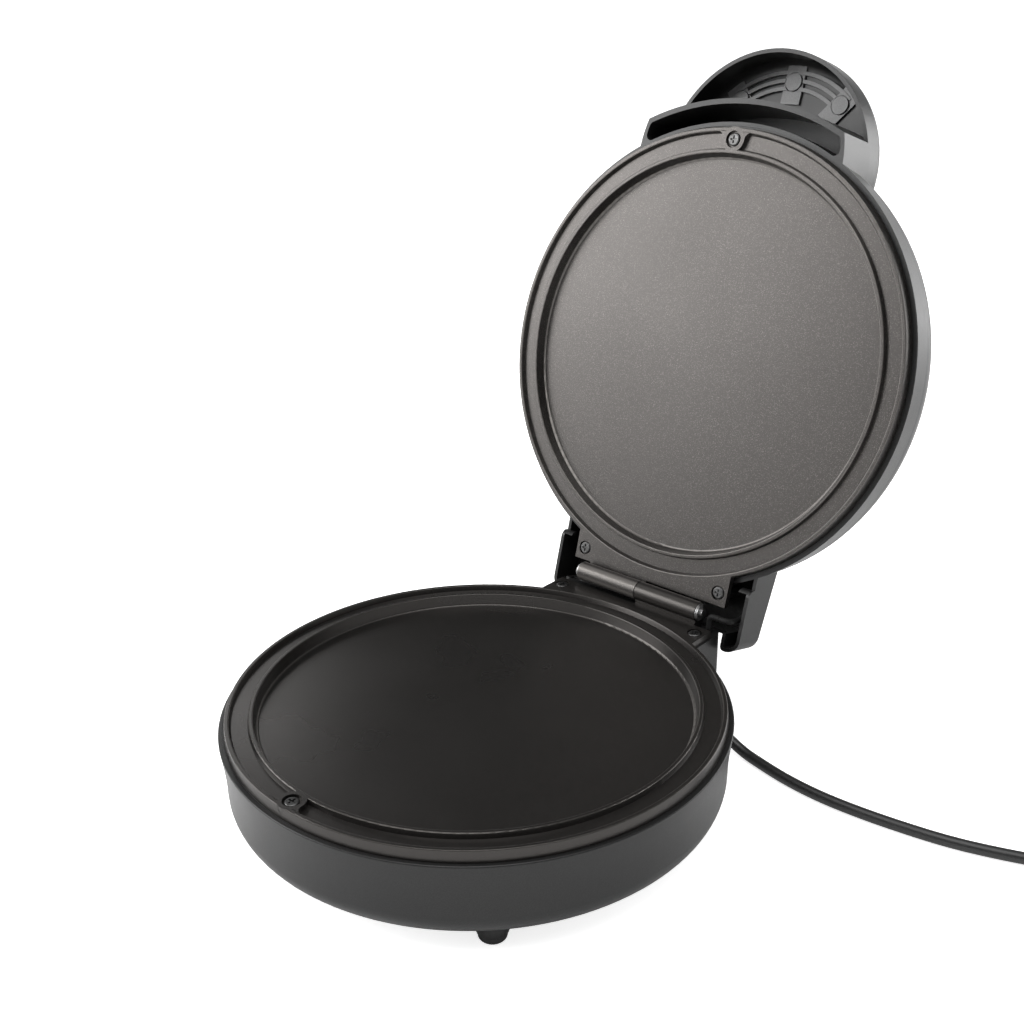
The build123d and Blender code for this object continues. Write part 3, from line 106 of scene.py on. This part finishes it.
# %% Turns of the put-away coil
COIL_X = 0.372
COIL_Y = 0.1260
COIL_PITCH = 0.0082
COIL_R = 0.046
COIL_TAIL = 0.031
POINTS_IN_TURN = 16
half_step = pi / POINTS_IN_TURN
half_turns = [
    (COIL_R, 0, -pi / 2, 8, 0, 0),
    (COIL_R - COIL_PITCH / 2, COIL_PITCH / 2, pi / 2, 8, 0, 0),
    (COIL_R - COIL_PITCH, 0, -pi / 2, 8, 0, COIL_PITCH),
    (COIL_R - COIL_PITCH / 2, -COIL_PITCH / 2, pi / 2, 8, COIL_PITCH, COIL_PITCH),
    (COIL_R, 0, -pi / 2, 4, COIL_PITCH, COIL_PITCH),
]
for radius, shift, start, count, rise_in, rise_out in half_turns:
    reach = radius / cos(half_step)
    for index in range(count):
        turn = start + (2 * index + 1) * half_step
        rise = rise_in + (rise_out - rise_in) * (index + 0.5) / count
        cord_points.append(
            (COIL_X + reach * cos(turn), COIL_Y + shift + reach * sin(turn), CORD_Z + rise)
        )
cord_points.append((COIL_X + COIL_R, COIL_Y + COIL_TAIL, CORD_Z + COIL_PITCH))
print("points in the cord's route:", len(cord_points))

# %% Cord as one smooth curve
cord_data = bpy.data.curves.new("mains_cord", "CURVE")
cord_data.dimensions = "3D"
cord_data.bevel_depth = 1.0
cord_data.bevel_resolution = 5
cord_data.resolution_u = 8
cord_spline = cord_data.splines.new("NURBS")
cord_spline.points.add(len(cord_points) - 1)
for point, place in zip(cord_spline.points, cord_points):
    point.co = (*place, 1)
    point.radius = CORD_R
cord_spline.order_u = 3
cord_spline.use_endpoint_u = True
mains_cord = bpy.data.objects.new("mains_cord", cord_data)
bpy.context.scene.collection.objects.link(mains_cord)
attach(mains_cord, "base")
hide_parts("power_cord", "cord_coil")
print("cord follows", len(cord_spline.points), "control points")

# %% [markdown]
# ## Studio and light
# Product pictures of black goods are lit so that the goods stay dark and their edges
# glow. One lamp would give hard spots. Here a white floor and a white room light the
# goods evenly, a weak sun with a very wide disc keeps the far floor as white as the near
# floor, and large soft panels draw the long gradients on the plates and the shells.

# %% [markdown]
# ### The floor
# Paper under black goods looks white in a picture, yet it mirrors in their sides only as
# bright as the light that falls on it. So the floor is plain pale paper, with a glow of
# its own that only the camera sees. The glow keeps its shadows faint.

# %% Pale floor
floor_mesh = bpy.data.meshes.new("studio_floor")
HALF_FLOOR = 60.0
FLOOR_DROP = 0.0004
FLOOR_GLOW = 0.75
floor_mesh.from_pydata(
    [(-HALF_FLOOR, -HALF_FLOOR, 0), (HALF_FLOOR, -HALF_FLOOR, 0),
     (HALF_FLOOR, HALF_FLOOR, 0), (-HALF_FLOOR, HALF_FLOOR, 0)],
    [],
    [(0, 1, 2, 3)],
)
studio_floor = bpy.data.objects.new("studio_floor", floor_mesh)
studio_floor.location.z = -FLOOR_DROP
bpy.context.scene.collection.objects.link(studio_floor)
floor_finish = bpy.data.materials.new("pale_sweep")
floor_finish.use_nodes = True
floor_shader = floor_finish.node_tree.nodes["Principled BSDF"]
floor_shader.inputs["Base Color"].default_value = (0.9, 0.9, 0.9, 1)
floor_shader.inputs["Roughness"].default_value = 0.9
floor_shader.inputs["Specular IOR Level"].default_value = 0.1
floor_shader.inputs["Emission Color"].default_value = (1, 1, 1, 1)
floor_ray = floor_finish.node_tree.nodes.new("ShaderNodeLightPath")
floor_glow = floor_finish.node_tree.nodes.new("ShaderNodeMath")
floor_glow.operation = "MULTIPLY"
floor_glow.inputs[1].default_value = FLOOR_GLOW
floor_finish.node_tree.links.new(floor_ray.outputs["Is Camera Ray"], floor_glow.inputs[0])
floor_finish.node_tree.links.new(floor_glow.outputs[0], floor_shader.inputs["Emission Strength"])
floor_mesh.materials.append(floor_finish)
print("floor is", 2 * HALF_FLOOR, "m wide")

# %% [markdown]
# ### The room
# A photographer hangs black cloth where glossy goods would mirror too much white. The
# room does the same: it shines white on everything, yet a mirror ray that looks up into
# it finds it white only near the horizon and dark above. That keeps the lower plate deep
# and lets every grazing edge glow. The camera itself sees the room plain white.

# %% White room with dark cloth above
ROOM_LIGHT = 0.5
ROOM_SEEN = 1.0
EDGE_GLOW = 1.6
CLOTH_GLOW = 0.04
room = bpy.data.worlds.new("white_room")
bpy.context.scene.world = room
room.use_nodes = True
room_tree = room.node_tree
room_light = room_tree.nodes["Background"]
cloth = room_tree.nodes.new("ShaderNodeBackground")
look = room_tree.nodes.new("ShaderNodeTexCoord")
look_parts = room_tree.nodes.new("ShaderNodeSeparateXYZ")
height_fade = room_tree.nodes.new("ShaderNodeMapRange")
height_fade.interpolation_type = "SMOOTHSTEP"
for label, value in (("From Min", 0.02), ("From Max", 0.3), ("To Min", EDGE_GLOW), ("To Max", CLOTH_GLOW)):
    height_fade.inputs[label].default_value = value
ray_kind = room_tree.nodes.new("ShaderNodeLightPath")
room_strength = room_tree.nodes.new("ShaderNodeMapRange")
room_strength.inputs["To Min"].default_value = ROOM_LIGHT
room_strength.inputs["To Max"].default_value = ROOM_SEEN
room_tree.links.new(ray_kind.outputs["Is Camera Ray"], room_strength.inputs["Value"])
room_tree.links.new(room_strength.outputs["Result"], room_light.inputs["Strength"])
room_choice = room_tree.nodes.new("ShaderNodeMixShader")
room_tree.links.new(look.outputs["Generated"], look_parts.inputs["Vector"])
room_tree.links.new(look_parts.outputs["Z"], height_fade.inputs["Value"])
room_tree.links.new(height_fade.outputs["Result"], cloth.inputs["Strength"])
for socket in (room_light.inputs["Color"], cloth.inputs["Color"]):
    socket.default_value = (1, 1, 1, 1)
room_tree.links.new(ray_kind.outputs["Is Glossy Ray"], room_choice.inputs["Fac"])
room_tree.links.new(room_light.outputs["Background"], room_choice.inputs[1])
room_tree.links.new(cloth.outputs["Background"], room_choice.inputs[2])
room_tree.links.new(room_choice.outputs["Shader"], room_tree.nodes["World Output"].inputs["Surface"])
bpy.context.scene.view_settings.view_transform = "Standard"
print("room shines", ROOM_LIGHT)


# %% Soft panels and a wide sun
def soft_panel(name, place, aim, width, height, watts):
    """Rectangular soft light at a place, turned to face a point."""
    data = bpy.data.lights.new(name, "AREA")
    data.shape = "RECTANGLE"
    data.size = width
    data.size_y = height
    data.energy = watts
    panel = bpy.data.objects.new(name, data)
    panel.location = place
    panel.rotation_euler = (Vector(aim) - Vector(place)).to_track_quat("-Z", "Y").to_euler()
    bpy.context.scene.collection.objects.link(panel)
    return panel


soft_panel("front_left_panel", (-1.9, -1.55, 1.4), (0, 0.2, 0.25), 1.9, 1.7, 72)
soft_panel("overhead_panel", (0.3, -0.5, 2.6), (0, 0, 0.1), 2.0, 2.0, 40)
soft_panel("back_left_panel", (-2.1, 0.75, 1.05), (0, 0, 0.1), 0.9, 0.9, 5)
soft_panel("back_right_panel", (1.15, 2.0, 0.62), (0.1, 0.15, 0.35), 1.5, 1.1, 23)
sun_data = bpy.data.lights.new("wide_sun", "SUN")
sun_data.angle = radians(70)
sun_data.energy = 0.5
wide_sun = bpy.data.objects.new("wide_sun", sun_data)
bpy.context.scene.collection.objects.link(wide_sun)

# %% [markdown]
# ## Shared surface effects
# Moulded plastic, coated castings and turned steel all need small changes over their
# surface. Writing the same noise nodes into every material would be hard to keep alike,
# so each effect is built once as a node group with named inputs, and each finish sets
# its own values. A group hands out only colours, masks, heights and slopes: the shader
# that uses them stays in the material.


# %% Small tools for node groups
def new_group(name, inputs, outputs):
    """Empty shader node group with its sockets."""
    group = bpy.data.node_groups.new(name, "ShaderNodeTree")
    for label, kind, value in inputs:
        socket = group.interface.new_socket(label, in_out="INPUT", socket_type=kind)
        socket.default_value = value
    for label, kind in outputs:
        group.interface.new_socket(label, in_out="OUTPUT", socket_type=kind)
    return group, group.nodes.new("NodeGroupInput"), group.nodes.new("NodeGroupOutput")


def noise_in(tree, scale, detail=2.0, roughness=0.5):
    """Noise read in object space, so that it has one scale on every piece."""
    coordinates = tree.nodes.new("ShaderNodeTexCoord")
    noise = tree.nodes.new("ShaderNodeTexNoise")
    noise.inputs["Detail"].default_value = detail
    noise.inputs["Roughness"].default_value = roughness
    tree.links.new(coordinates.outputs["Object"], noise.inputs["Vector"])
    if isinstance(scale, (int, float)):
        noise.inputs["Scale"].default_value = scale
    else:
        tree.links.new(scale, noise.inputs["Scale"])
    return noise.outputs["Fac"]


def ranged(tree, value, low, high, to_low, to_high):
    """Value stretched from one range to another and held inside it."""
    node = tree.nodes.new("ShaderNodeMapRange")
    tree.links.new(value, node.inputs["Value"])
    for label, item in (("From Min", low), ("From Max", high), ("To Min", to_low), ("To Max", to_high)):
        if isinstance(item, (int, float)):
            node.inputs[label].default_value = item
        else:
            tree.links.new(item, node.inputs[label])
    return node.outputs["Result"]


def mixed(tree, factor, first, second):
    """Colour mixed between two others."""
    node = tree.nodes.new("ShaderNodeMix")
    node.data_type = "RGBA"
    tree.links.new(factor, node.inputs[0])
    for socket, item in ((node.inputs[6], first), (node.inputs[7], second)):
        if isinstance(item, tuple):
            socket.default_value = item
        else:
            tree.links.new(item, socket)
    return node.outputs[2]


def joined(tree, operation, first, second):
    """Two numbers combined by one sum."""
    node = tree.nodes.new("ShaderNodeMath")
    node.operation = operation
    for socket, item in zip(node.inputs, (first, second)):
        if isinstance(item, (int, float)):
            socket.default_value = item
        else:
            tree.links.new(item, socket)
    return node.outputs[0]


print("group tools ready")

# %% [markdown]
# ### Moulded grain
# A plastic shell takes the fine spark-eroded grain of its steel mould: peaks a few tenths
# of a millimetre apart that break up every reflection. Two noises of unlike scale make
# it: the fine one is the grain and the broad one is how unevenly hands and cloths have
# polished it.

# %% Moulded grain group
grain_group, grain_in, grain_out = new_group(
    "moulded_grain",
    [("Scale", "NodeSocketFloat", 1600.0), ("Dark", "NodeSocketColor", (0.02, 0.02, 0.02, 1)),
     ("Light", "NodeSocketColor", (0.04, 0.04, 0.04, 1)), ("Smooth", "NodeSocketFloat", 0.35),
     ("Rough", "NodeSocketFloat", 0.5)],
    [("Color", "NodeSocketColor"), ("Roughness", "NodeSocketFloat"), ("Height", "NodeSocketFloat")],
)
fine_grain = noise_in(grain_group, grain_in.outputs["Scale"], 3.0, 0.6)
hand_polish = noise_in(grain_group, 14.0, 3.0)
grain_mask = ranged(grain_group, fine_grain, 0.3, 0.7, 0.0, 1.0)
grain_group.links.new(
    mixed(grain_group, grain_mask, grain_in.outputs["Dark"], grain_in.outputs["Light"]),
    grain_out.inputs["Color"],
)
grain_group.links.new(
    ranged(grain_group, hand_polish, 0.3, 0.7, grain_in.outputs["Smooth"], grain_in.outputs["Rough"]),
    grain_out.inputs["Roughness"],
)
grain_group.links.new(fine_grain, grain_out.inputs["Height"])
print("group:", grain_group.name)

# %% [markdown]
# ### Painted highlights on the rounds
# Every small round on the plates shows a thin bright line. That line is a painted highlight:
# the rounds are given a brighter, metal-like colour, so they mirror the lamps more than the
# flats. The rounds could be picked by hand, face by face. It is simpler to ask how far the
# surface leans from the plate's own axis: flats lean not at all, walls lean fully, and only
# the rounds between them lean half way.

# %% Painted round highlight group
round_group, round_in, round_out = new_group(
    "painted_round_highlight",
    [("Axis", "NodeSocketVector", (0.0, 0.0, 1.0))],
    [("Mask", "NodeSocketFloat")],
)
round_place = round_group.nodes.new("ShaderNodeTexCoord")
lean = round_group.nodes.new("ShaderNodeVectorMath")
lean.operation = "DOT_PRODUCT"
round_group.links.new(round_place.outputs["Normal"], lean.inputs[0])
round_group.links.new(round_in.outputs["Axis"], lean.inputs[1])
past_wall = ranged(round_group, lean.outputs["Value"], 0.42, 0.62, 0.0, 1.0)
before_flat = ranged(round_group, lean.outputs["Value"], 0.9, 0.985, 1.0, 0.0)
round_group.links.new(joined(round_group, "MULTIPLY", past_wall, before_flat), round_out.inputs["Mask"])
print("group:", round_group.name)

# %% [markdown]
# ### Coating fleck
# A non-stick coating is sprayed and baked. Tiny mica flecks lie in it, and the film
# itself dries with a soft orange-peel waviness. Voronoi cells with most of them masked
# out give separate flecks, where a noise would only give clouds. A fleck mirrors like a
# metal, so the group also hands out a mask for the shader's metallic socket.

# %% Coating fleck group
fleck_group, fleck_in, fleck_out = new_group(
    "coating_fleck",
    [("Fleck Scale", "NodeSocketFloat", 1400.0), ("Ground", "NodeSocketColor", (0.01, 0.01, 0.01, 1)),
     ("Fleck", "NodeSocketColor", (0.3, 0.28, 0.26, 1)), ("Smooth", "NodeSocketFloat", 0.3),
     ("Rough", "NodeSocketFloat", 0.4), ("Round Highlight", "NodeSocketFloat", 0.0)],
    [("Color", "NodeSocketColor"), ("Roughness", "NodeSocketFloat"), ("Height", "NodeSocketFloat"),
     ("Metal", "NodeSocketFloat")],
)
fleck_place = fleck_group.nodes.new("ShaderNodeTexCoord")
fleck_cells = fleck_group.nodes.new("ShaderNodeTexVoronoi")
fleck_group.links.new(fleck_place.outputs["Object"], fleck_cells.inputs["Vector"])
fleck_group.links.new(fleck_in.outputs["Fleck Scale"], fleck_cells.inputs["Scale"])
near_centre = ranged(fleck_group, fleck_cells.outputs["Distance"], 0.15, 0.5, 1.0, 0.0)
cell_pick = fleck_group.nodes.new("ShaderNodeSeparateColor")
fleck_group.links.new(fleck_cells.outputs["Color"], cell_pick.inputs["Color"])
picked = ranged(fleck_group, cell_pick.outputs["Red"], 0.55, 1.0, 0.0, 1.0)
fleck_mask = joined(fleck_group, "MULTIPLY", near_centre, picked)
# Painted highlight: the rounds take half the metal-like fleck colour, so they shine as thin bright lines.
ROUND_HIGHLIGHT_SHARE = 0.5
round_highlight_mask = joined(fleck_group, "MULTIPLY", fleck_in.outputs["Round Highlight"], ROUND_HIGHLIGHT_SHARE)
fleck_and_highlight_mask = joined(fleck_group, "MAXIMUM", fleck_mask, round_highlight_mask)
fleck_group.links.new(fleck_and_highlight_mask, fleck_out.inputs["Metal"])
fleck_group.links.new(
    mixed(fleck_group, fleck_and_highlight_mask, fleck_in.outputs["Ground"], fleck_in.outputs["Fleck"]),
    fleck_out.inputs["Color"],
)
film_wave = noise_in(fleck_group, 1100.0, 3.0, 0.65)
wiped = noise_in(fleck_group, 9.0, 3.0)
fleck_group.links.new(
    ranged(fleck_group, wiped, 0.3, 0.7, fleck_in.outputs["Smooth"], fleck_in.outputs["Rough"]),
    fleck_out.inputs["Roughness"],
)
fleck_group.links.new(film_wave, fleck_out.inputs["Height"])
print("group:", fleck_group.name)

# %% [markdown]
# ### Middle of the dome
# The dome's facets all meet at its middle. For about half of them the slope stored at that
# corner leans some thirty degrees away from the facet, which shows as a dark mark. The
# crown is part of a ball, though, and a ball's slope points away from its centre. Near
# the middle that slope is used for shading instead, and the mesh itself stays as it is.

# %% Crown slope group
OPEN_ANGLE = radians(105.8)
HINGE = Vector((0, 0.0785, 0.0837))
CROWN_TOP = Vector((0, -0.095, 0.16007))
BALL_R = 1.05687
MARK_REACH = 0.024
HALF_WALL = 0.0014
opened = Matrix.Rotation(-OPEN_ANGLE, 3, "X")
ball_centre = HINGE + opened @ (CROWN_TOP - Vector((0, 0, BALL_R)) - HINGE)
crown_group, crown_in, crown_out = new_group(
    "crown_slope",
    [("Centre", "NodeSocketVector", ball_centre),
     ("Middle", "NodeSocketVector", HINGE + opened @ (CROWN_TOP - HINGE)),
     ("Reach", "NodeSocketFloat", MARK_REACH), ("Core Radius", "NodeSocketFloat", BALL_R - HALF_WALL)],
    [("Normal", "NodeSocketVector")],
)


def vector_sum(tree, operation, first, second=None):
    """Node that combines vectors by one sum."""
    node = tree.nodes.new("ShaderNodeVectorMath")
    node.operation = operation
    tree.links.new(first, node.inputs[0])
    if second is not None:
        tree.links.new(second, node.inputs[1])
    return node


crown_place = crown_group.nodes.new("ShaderNodeTexCoord").outputs["Object"]
from_centre = vector_sum(crown_group, "SUBTRACT", crown_place, crown_in.outputs["Centre"])
to_world = crown_group.nodes.new("ShaderNodeVectorTransform")
to_world.vector_type = "NORMAL"
to_world.convert_from = "OBJECT"
to_world.convert_to = "WORLD"
crown_group.links.new(from_centre.outputs["Vector"], to_world.inputs["Vector"])
ball_slope = vector_sum(crown_group, "NORMALIZE", to_world.outputs["Vector"])

# %% Where the crown slope takes over
off_middle = vector_sum(crown_group, "DISTANCE", crown_place, crown_in.outputs["Middle"])
off_centre = vector_sum(crown_group, "DISTANCE", crown_place, crown_in.outputs["Centre"])
near_middle = joined(crown_group, "LESS_THAN", off_middle.outputs["Value"], crown_in.outputs["Reach"])
outer_face = joined(
    crown_group, "GREATER_THAN", off_centre.outputs["Value"], crown_in.outputs["Core Radius"]
)
own_slope = crown_group.nodes.new("ShaderNodeNewGeometry")
slope_choice = crown_group.nodes.new("ShaderNodeMix")
slope_choice.data_type = "VECTOR"
crown_group.links.new(joined(crown_group, "MULTIPLY", near_middle, outer_face), slope_choice.inputs["Factor"])
crown_group.links.new(own_slope.outputs["Normal"], slope_choice.inputs[4])
crown_group.links.new(ball_slope.outputs["Vector"], slope_choice.inputs[5])
crown_group.links.new(slope_choice.outputs[1], crown_out.inputs["Normal"])
print("group:", crown_group.name)

# %% [markdown]
# ### Metal scratches
# Turned and plated steel shows fine lines and a little tarnish. Noise stretched far along
# one direction turns into lines.

# %% Metal scratch group
scratch_group, scratch_in, scratch_out = new_group(
    "metal_scratch",
    [("Bright", "NodeSocketColor", (0.6, 0.6, 0.6, 1)), ("Tarnish", "NodeSocketColor", (0.3, 0.29, 0.28, 1)),
     ("Smooth", "NodeSocketFloat", 0.22), ("Rough", "NodeSocketFloat", 0.45)],
    [("Color", "NodeSocketColor"), ("Roughness", "NodeSocketFloat"), ("Height", "NodeSocketFloat")],
)
scratch_place = scratch_group.nodes.new("ShaderNodeTexCoord")
scratch_stretch = scratch_group.nodes.new("ShaderNodeMapping")
scratch_stretch.inputs["Scale"].default_value = (300, 3000, 3000)
scratch_group.links.new(scratch_place.outputs["Object"], scratch_stretch.inputs["Vector"])
scratch_noise = scratch_group.nodes.new("ShaderNodeTexNoise")
scratch_noise.inputs["Scale"].default_value = 1.0
scratch_group.links.new(scratch_stretch.outputs["Vector"], scratch_noise.inputs["Vector"])
tarnish_patch = noise_in(scratch_group, 240.0, 3.0)
tarnish_mask = ranged(scratch_group, tarnish_patch, 0.4, 0.75, 0.0, 1.0)
scratch_group.links.new(
    mixed(scratch_group, tarnish_mask, scratch_in.outputs["Bright"], scratch_in.outputs["Tarnish"]),
    scratch_out.inputs["Color"],
)
scratch_group.links.new(
    ranged(scratch_group, scratch_noise.outputs["Fac"], 0.3, 0.7,
           scratch_in.outputs["Smooth"], scratch_in.outputs["Rough"]),
    scratch_out.inputs["Roughness"],
)
scratch_group.links.new(scratch_noise.outputs["Fac"], scratch_out.inputs["Height"])
print("group:", scratch_group.name)

# %% [markdown]
# ## Finishes
# A finish is one Principled shader fed by one of the groups. What never changes over the
# surface, such as how metallic it is, is set on the shader's own sockets.


# %% Finish maker
def finish(name, group, values, bump, fixed=()):
    """Material whose colour, roughness and bump come from a surface group."""
    material = bpy.data.materials.new(name)
    material.use_nodes = True
    tree = material.node_tree
    shader = tree.nodes["Principled BSDF"]
    effect = tree.nodes.new("ShaderNodeGroup")
    effect.node_tree = group
    for label, value in values.items():
        effect.inputs[label].default_value = value
    tree.links.new(effect.outputs["Color"], shader.inputs["Base Color"])
    tree.links.new(effect.outputs["Roughness"], shader.inputs["Roughness"])
    relief = tree.nodes.new("ShaderNodeBump")
    relief.inputs["Strength"].default_value = bump[0]
    relief.inputs["Distance"].default_value = bump[1]
    tree.links.new(effect.outputs["Height"], relief.inputs["Height"])
    tree.links.new(relief.outputs["Normal"], shader.inputs["Normal"])
    for label, value in dict(fixed).items():
        shader.inputs[label].default_value = value
    return material


def grey(value, warmth=0.0):
    """Grey colour, a little warmer or cooler."""
    return (value * (1 + warmth), value, value * (1 - warmth), 1)


# %% [markdown]
# ### Plastic and rubber
# The two shells are black heat-proof plastic with the same grain. The frame inside the
# hood is a paler grade. Pads, sleeves and the cord are rubber: darker, and duller.

# %% Plastic and rubber finishes
finishes = {}
finishes["lid_plastic"] = finish(
    "lid_plastic", grain_group,
    {"Scale": 1500.0, "Dark": grey(0.006), "Light": grey(0.014), "Smooth": 0.3, "Rough": 0.38},
    (0.18, 0.0003),
    {"Specular IOR Level": 0.4},
)
finishes["base_plastic"] = finish(
    "base_plastic", grain_group,
    {"Scale": 1500.0, "Dark": grey(0.006), "Light": grey(0.014), "Smooth": 0.32, "Rough": 0.4},
    (0.18, 0.0003),
    {"Specular IOR Level": 0.32},
)
finishes["frame_plastic"] = finish(
    "frame_plastic", grain_group,
    {"Scale": 1200.0, "Dark": grey(0.1), "Light": grey(0.15), "Smooth": 0.35, "Rough": 0.45},
    (0.15, 0.0003),
)
finishes["pad_rubber"] = finish(
    "pad_rubber", grain_group,
    {"Scale": 900.0, "Dark": grey(0.012), "Light": grey(0.026), "Smooth": 0.55, "Rough": 0.7},
    (0.25, 0.0004),
)
finishes["cord_rubber"] = finish(
    "cord_rubber", grain_group,
    {"Scale": 700.0, "Dark": grey(0.01), "Light": grey(0.02), "Smooth": 0.34, "Rough": 0.46},
    (0.12, 0.0003),
)
finishes["plug_plastic"] = finish(
    "plug_plastic", grain_group,
    {"Scale": 1300.0, "Dark": grey(0.012), "Light": grey(0.024), "Smooth": 0.38, "Rough": 0.5},
    (0.2, 0.0003),
)
finishes["sleeve"] = finish(
    "sleeve", grain_group,
    {"Scale": 1400.0, "Dark": grey(0.004), "Light": grey(0.01), "Smooth": 0.55, "Rough": 0.7},
    (0.3, 0.0003),
    {"Specular IOR Level": 0.2},
)
finishes["block_plastic"] = finish(
    "block_plastic", grain_group,
    {"Scale": 1100.0, "Dark": grey(0.55, 0.04), "Light": grey(0.7, 0.04), "Smooth": 0.4, "Rough": 0.55},
    (0.1, 0.0002),
)
finishes["lead_insulation"] = finish(
    "lead_insulation", grain_group,
    {"Scale": 2200.0, "Dark": grey(0.4, 0.05), "Light": grey(0.62, 0.05), "Smooth": 0.6, "Rough": 0.8},
    (0.4, 0.0003),
)
print("plastic and rubber finishes:", len(finishes))

# %% [markdown]
# ### Coated castings
# Both plates are one casting used twice, each with its own axis for the painted highlight on the rounds.
# The coating is a thin film, so its gloss is soft and wide. The lower plate looks smoother
# and darker than the upper one, and light alone didn't give that, so its film is smoother
# here. Its flecks are also duller and its specular level lower, and the upper plate's flecks
# are brighter: this is painted shade on the lower plate and painted light on the upper one.

# %% Coating finishes
# Fleck tone and specular level: painted shade on the lower plate, painted light on the upper plate.
plate_looks_with_painted_light = {
    "base_plate": ((0, 0, 1), 0.26, 0.32, 0.62, 0.07, 0.1),
    "lid_plate": ((0, -sin(OPEN_ANGLE), -cos(OPEN_ANGLE)), 0.31, 0.37, 0.76, 0.22, 0.35),
}
for plate, (axis, smooth, rough, gloss, fleck, peel) in plate_looks_with_painted_light.items():
    coating = finish(
        plate + "_coating", fleck_group,
        {"Fleck Scale": 1900.0, "Ground": grey(0.006, 0.06), "Fleck": grey(fleck, 0.06),
         "Smooth": smooth, "Rough": rough},
        (peel, 0.0003),
        {"Specular IOR Level": gloss, "Specular Tint": (1.0, 0.94, 0.9, 1)},
    )
    tree = coating.node_tree
    effect = next(node for node in tree.nodes if node.type == "GROUP")
    # Painted highlight: the round mask makes the plate's rounds brighter and metal-like.
    rounds = tree.nodes.new("ShaderNodeGroup")
    rounds.node_tree = round_group
    rounds.inputs["Axis"].default_value = axis
    tree.links.new(rounds.outputs["Mask"], effect.inputs["Round Highlight"])
    tree.links.new(effect.outputs["Metal"], tree.nodes["Principled BSDF"].inputs["Metallic"])
    finishes[plate] = coating
print("coatings:", list(plate_looks_with_painted_light))

# %% [markdown]
# ### The lid's own plastic
# The lid shell takes the same plastic as its finish says, with the crown's true slope
# under the grain. A copy of that finish keeps the two alike.

# %% Lid shell finish
lid_skin = finishes["lid_plastic"].copy()
lid_skin.name = "lid_shell_plastic"
slope = lid_skin.node_tree.nodes.new("ShaderNodeGroup")
slope.node_tree = crown_group
lid_relief = next(node for node in lid_skin.node_tree.nodes if node.type == "BUMP")
lid_skin.node_tree.links.new(slope.outputs["Normal"], lid_relief.inputs["Normal"])
finishes["lid_shell"] = lid_skin
print("finish:", lid_skin.name)

# %% [markdown]
# ### Metals
# Screws and the hinge pin are plated steel. Inside lie a dull heating rod and a rolled
# aluminium shield, and the plug's pins are brass. They differ only in tone and polish,
# so two short tables make them all.

# %% Metal finishes
for name, bright, tarnish, smooth, rough in (
    ("plate_screws", 0.11, 0.05, 0.3, 0.45),
    ("zinc_screws", 0.6, 0.42, 0.25, 0.4),
    ("pin_steel", 0.42, 0.2, 0.25, 0.42),
    ("rod_sheath", 0.35, 0.2, 0.45, 0.6),
    ("shield_sheet", 0.75, 0.6, 0.25, 0.4),
    ("thermostat_case", 0.7, 0.55, 0.25, 0.4),
):
    finishes[name] = finish(
        name, scratch_group,
        {"Bright": grey(bright), "Tarnish": grey(tarnish, 0.03), "Smooth": smooth, "Rough": rough},
        (0.1, 0.0001),
        {"Metallic": 1.0},
    )
for name, bright, tarnish in (
    ("brass_parts", (0.78, 0.62, 0.3, 1), (0.5, 0.37, 0.16, 1)),
    ("fuse_case", (0.74, 0.66, 0.46, 1), (0.5, 0.42, 0.26, 1)),
):
    finishes[name] = finish(
        name, scratch_group,
        {"Bright": bright, "Tarnish": tarnish, "Smooth": 0.25, "Rough": 0.4},
        (0.1, 0.0001),
        {"Metallic": 1.0},
    )
print("finishes in all:", len(finishes))

# %% [markdown]
# ## Dressing the solids
# Each solid already names the finish it takes, so one loop can dress them all.

# %% Give every node its finish
slot_of = {entry["node"]: entry["material_slot"] for entry in frame["record"]["subparts"]}
for name, solid in nodes.items():
    solid.data.materials.clear()
    solid.data.materials.append(finishes.get(name) or finishes[slot_of[name]])
mains_cord.data.materials.append(finishes["cord_rubber"])
print("dressed nodes:", len(nodes))
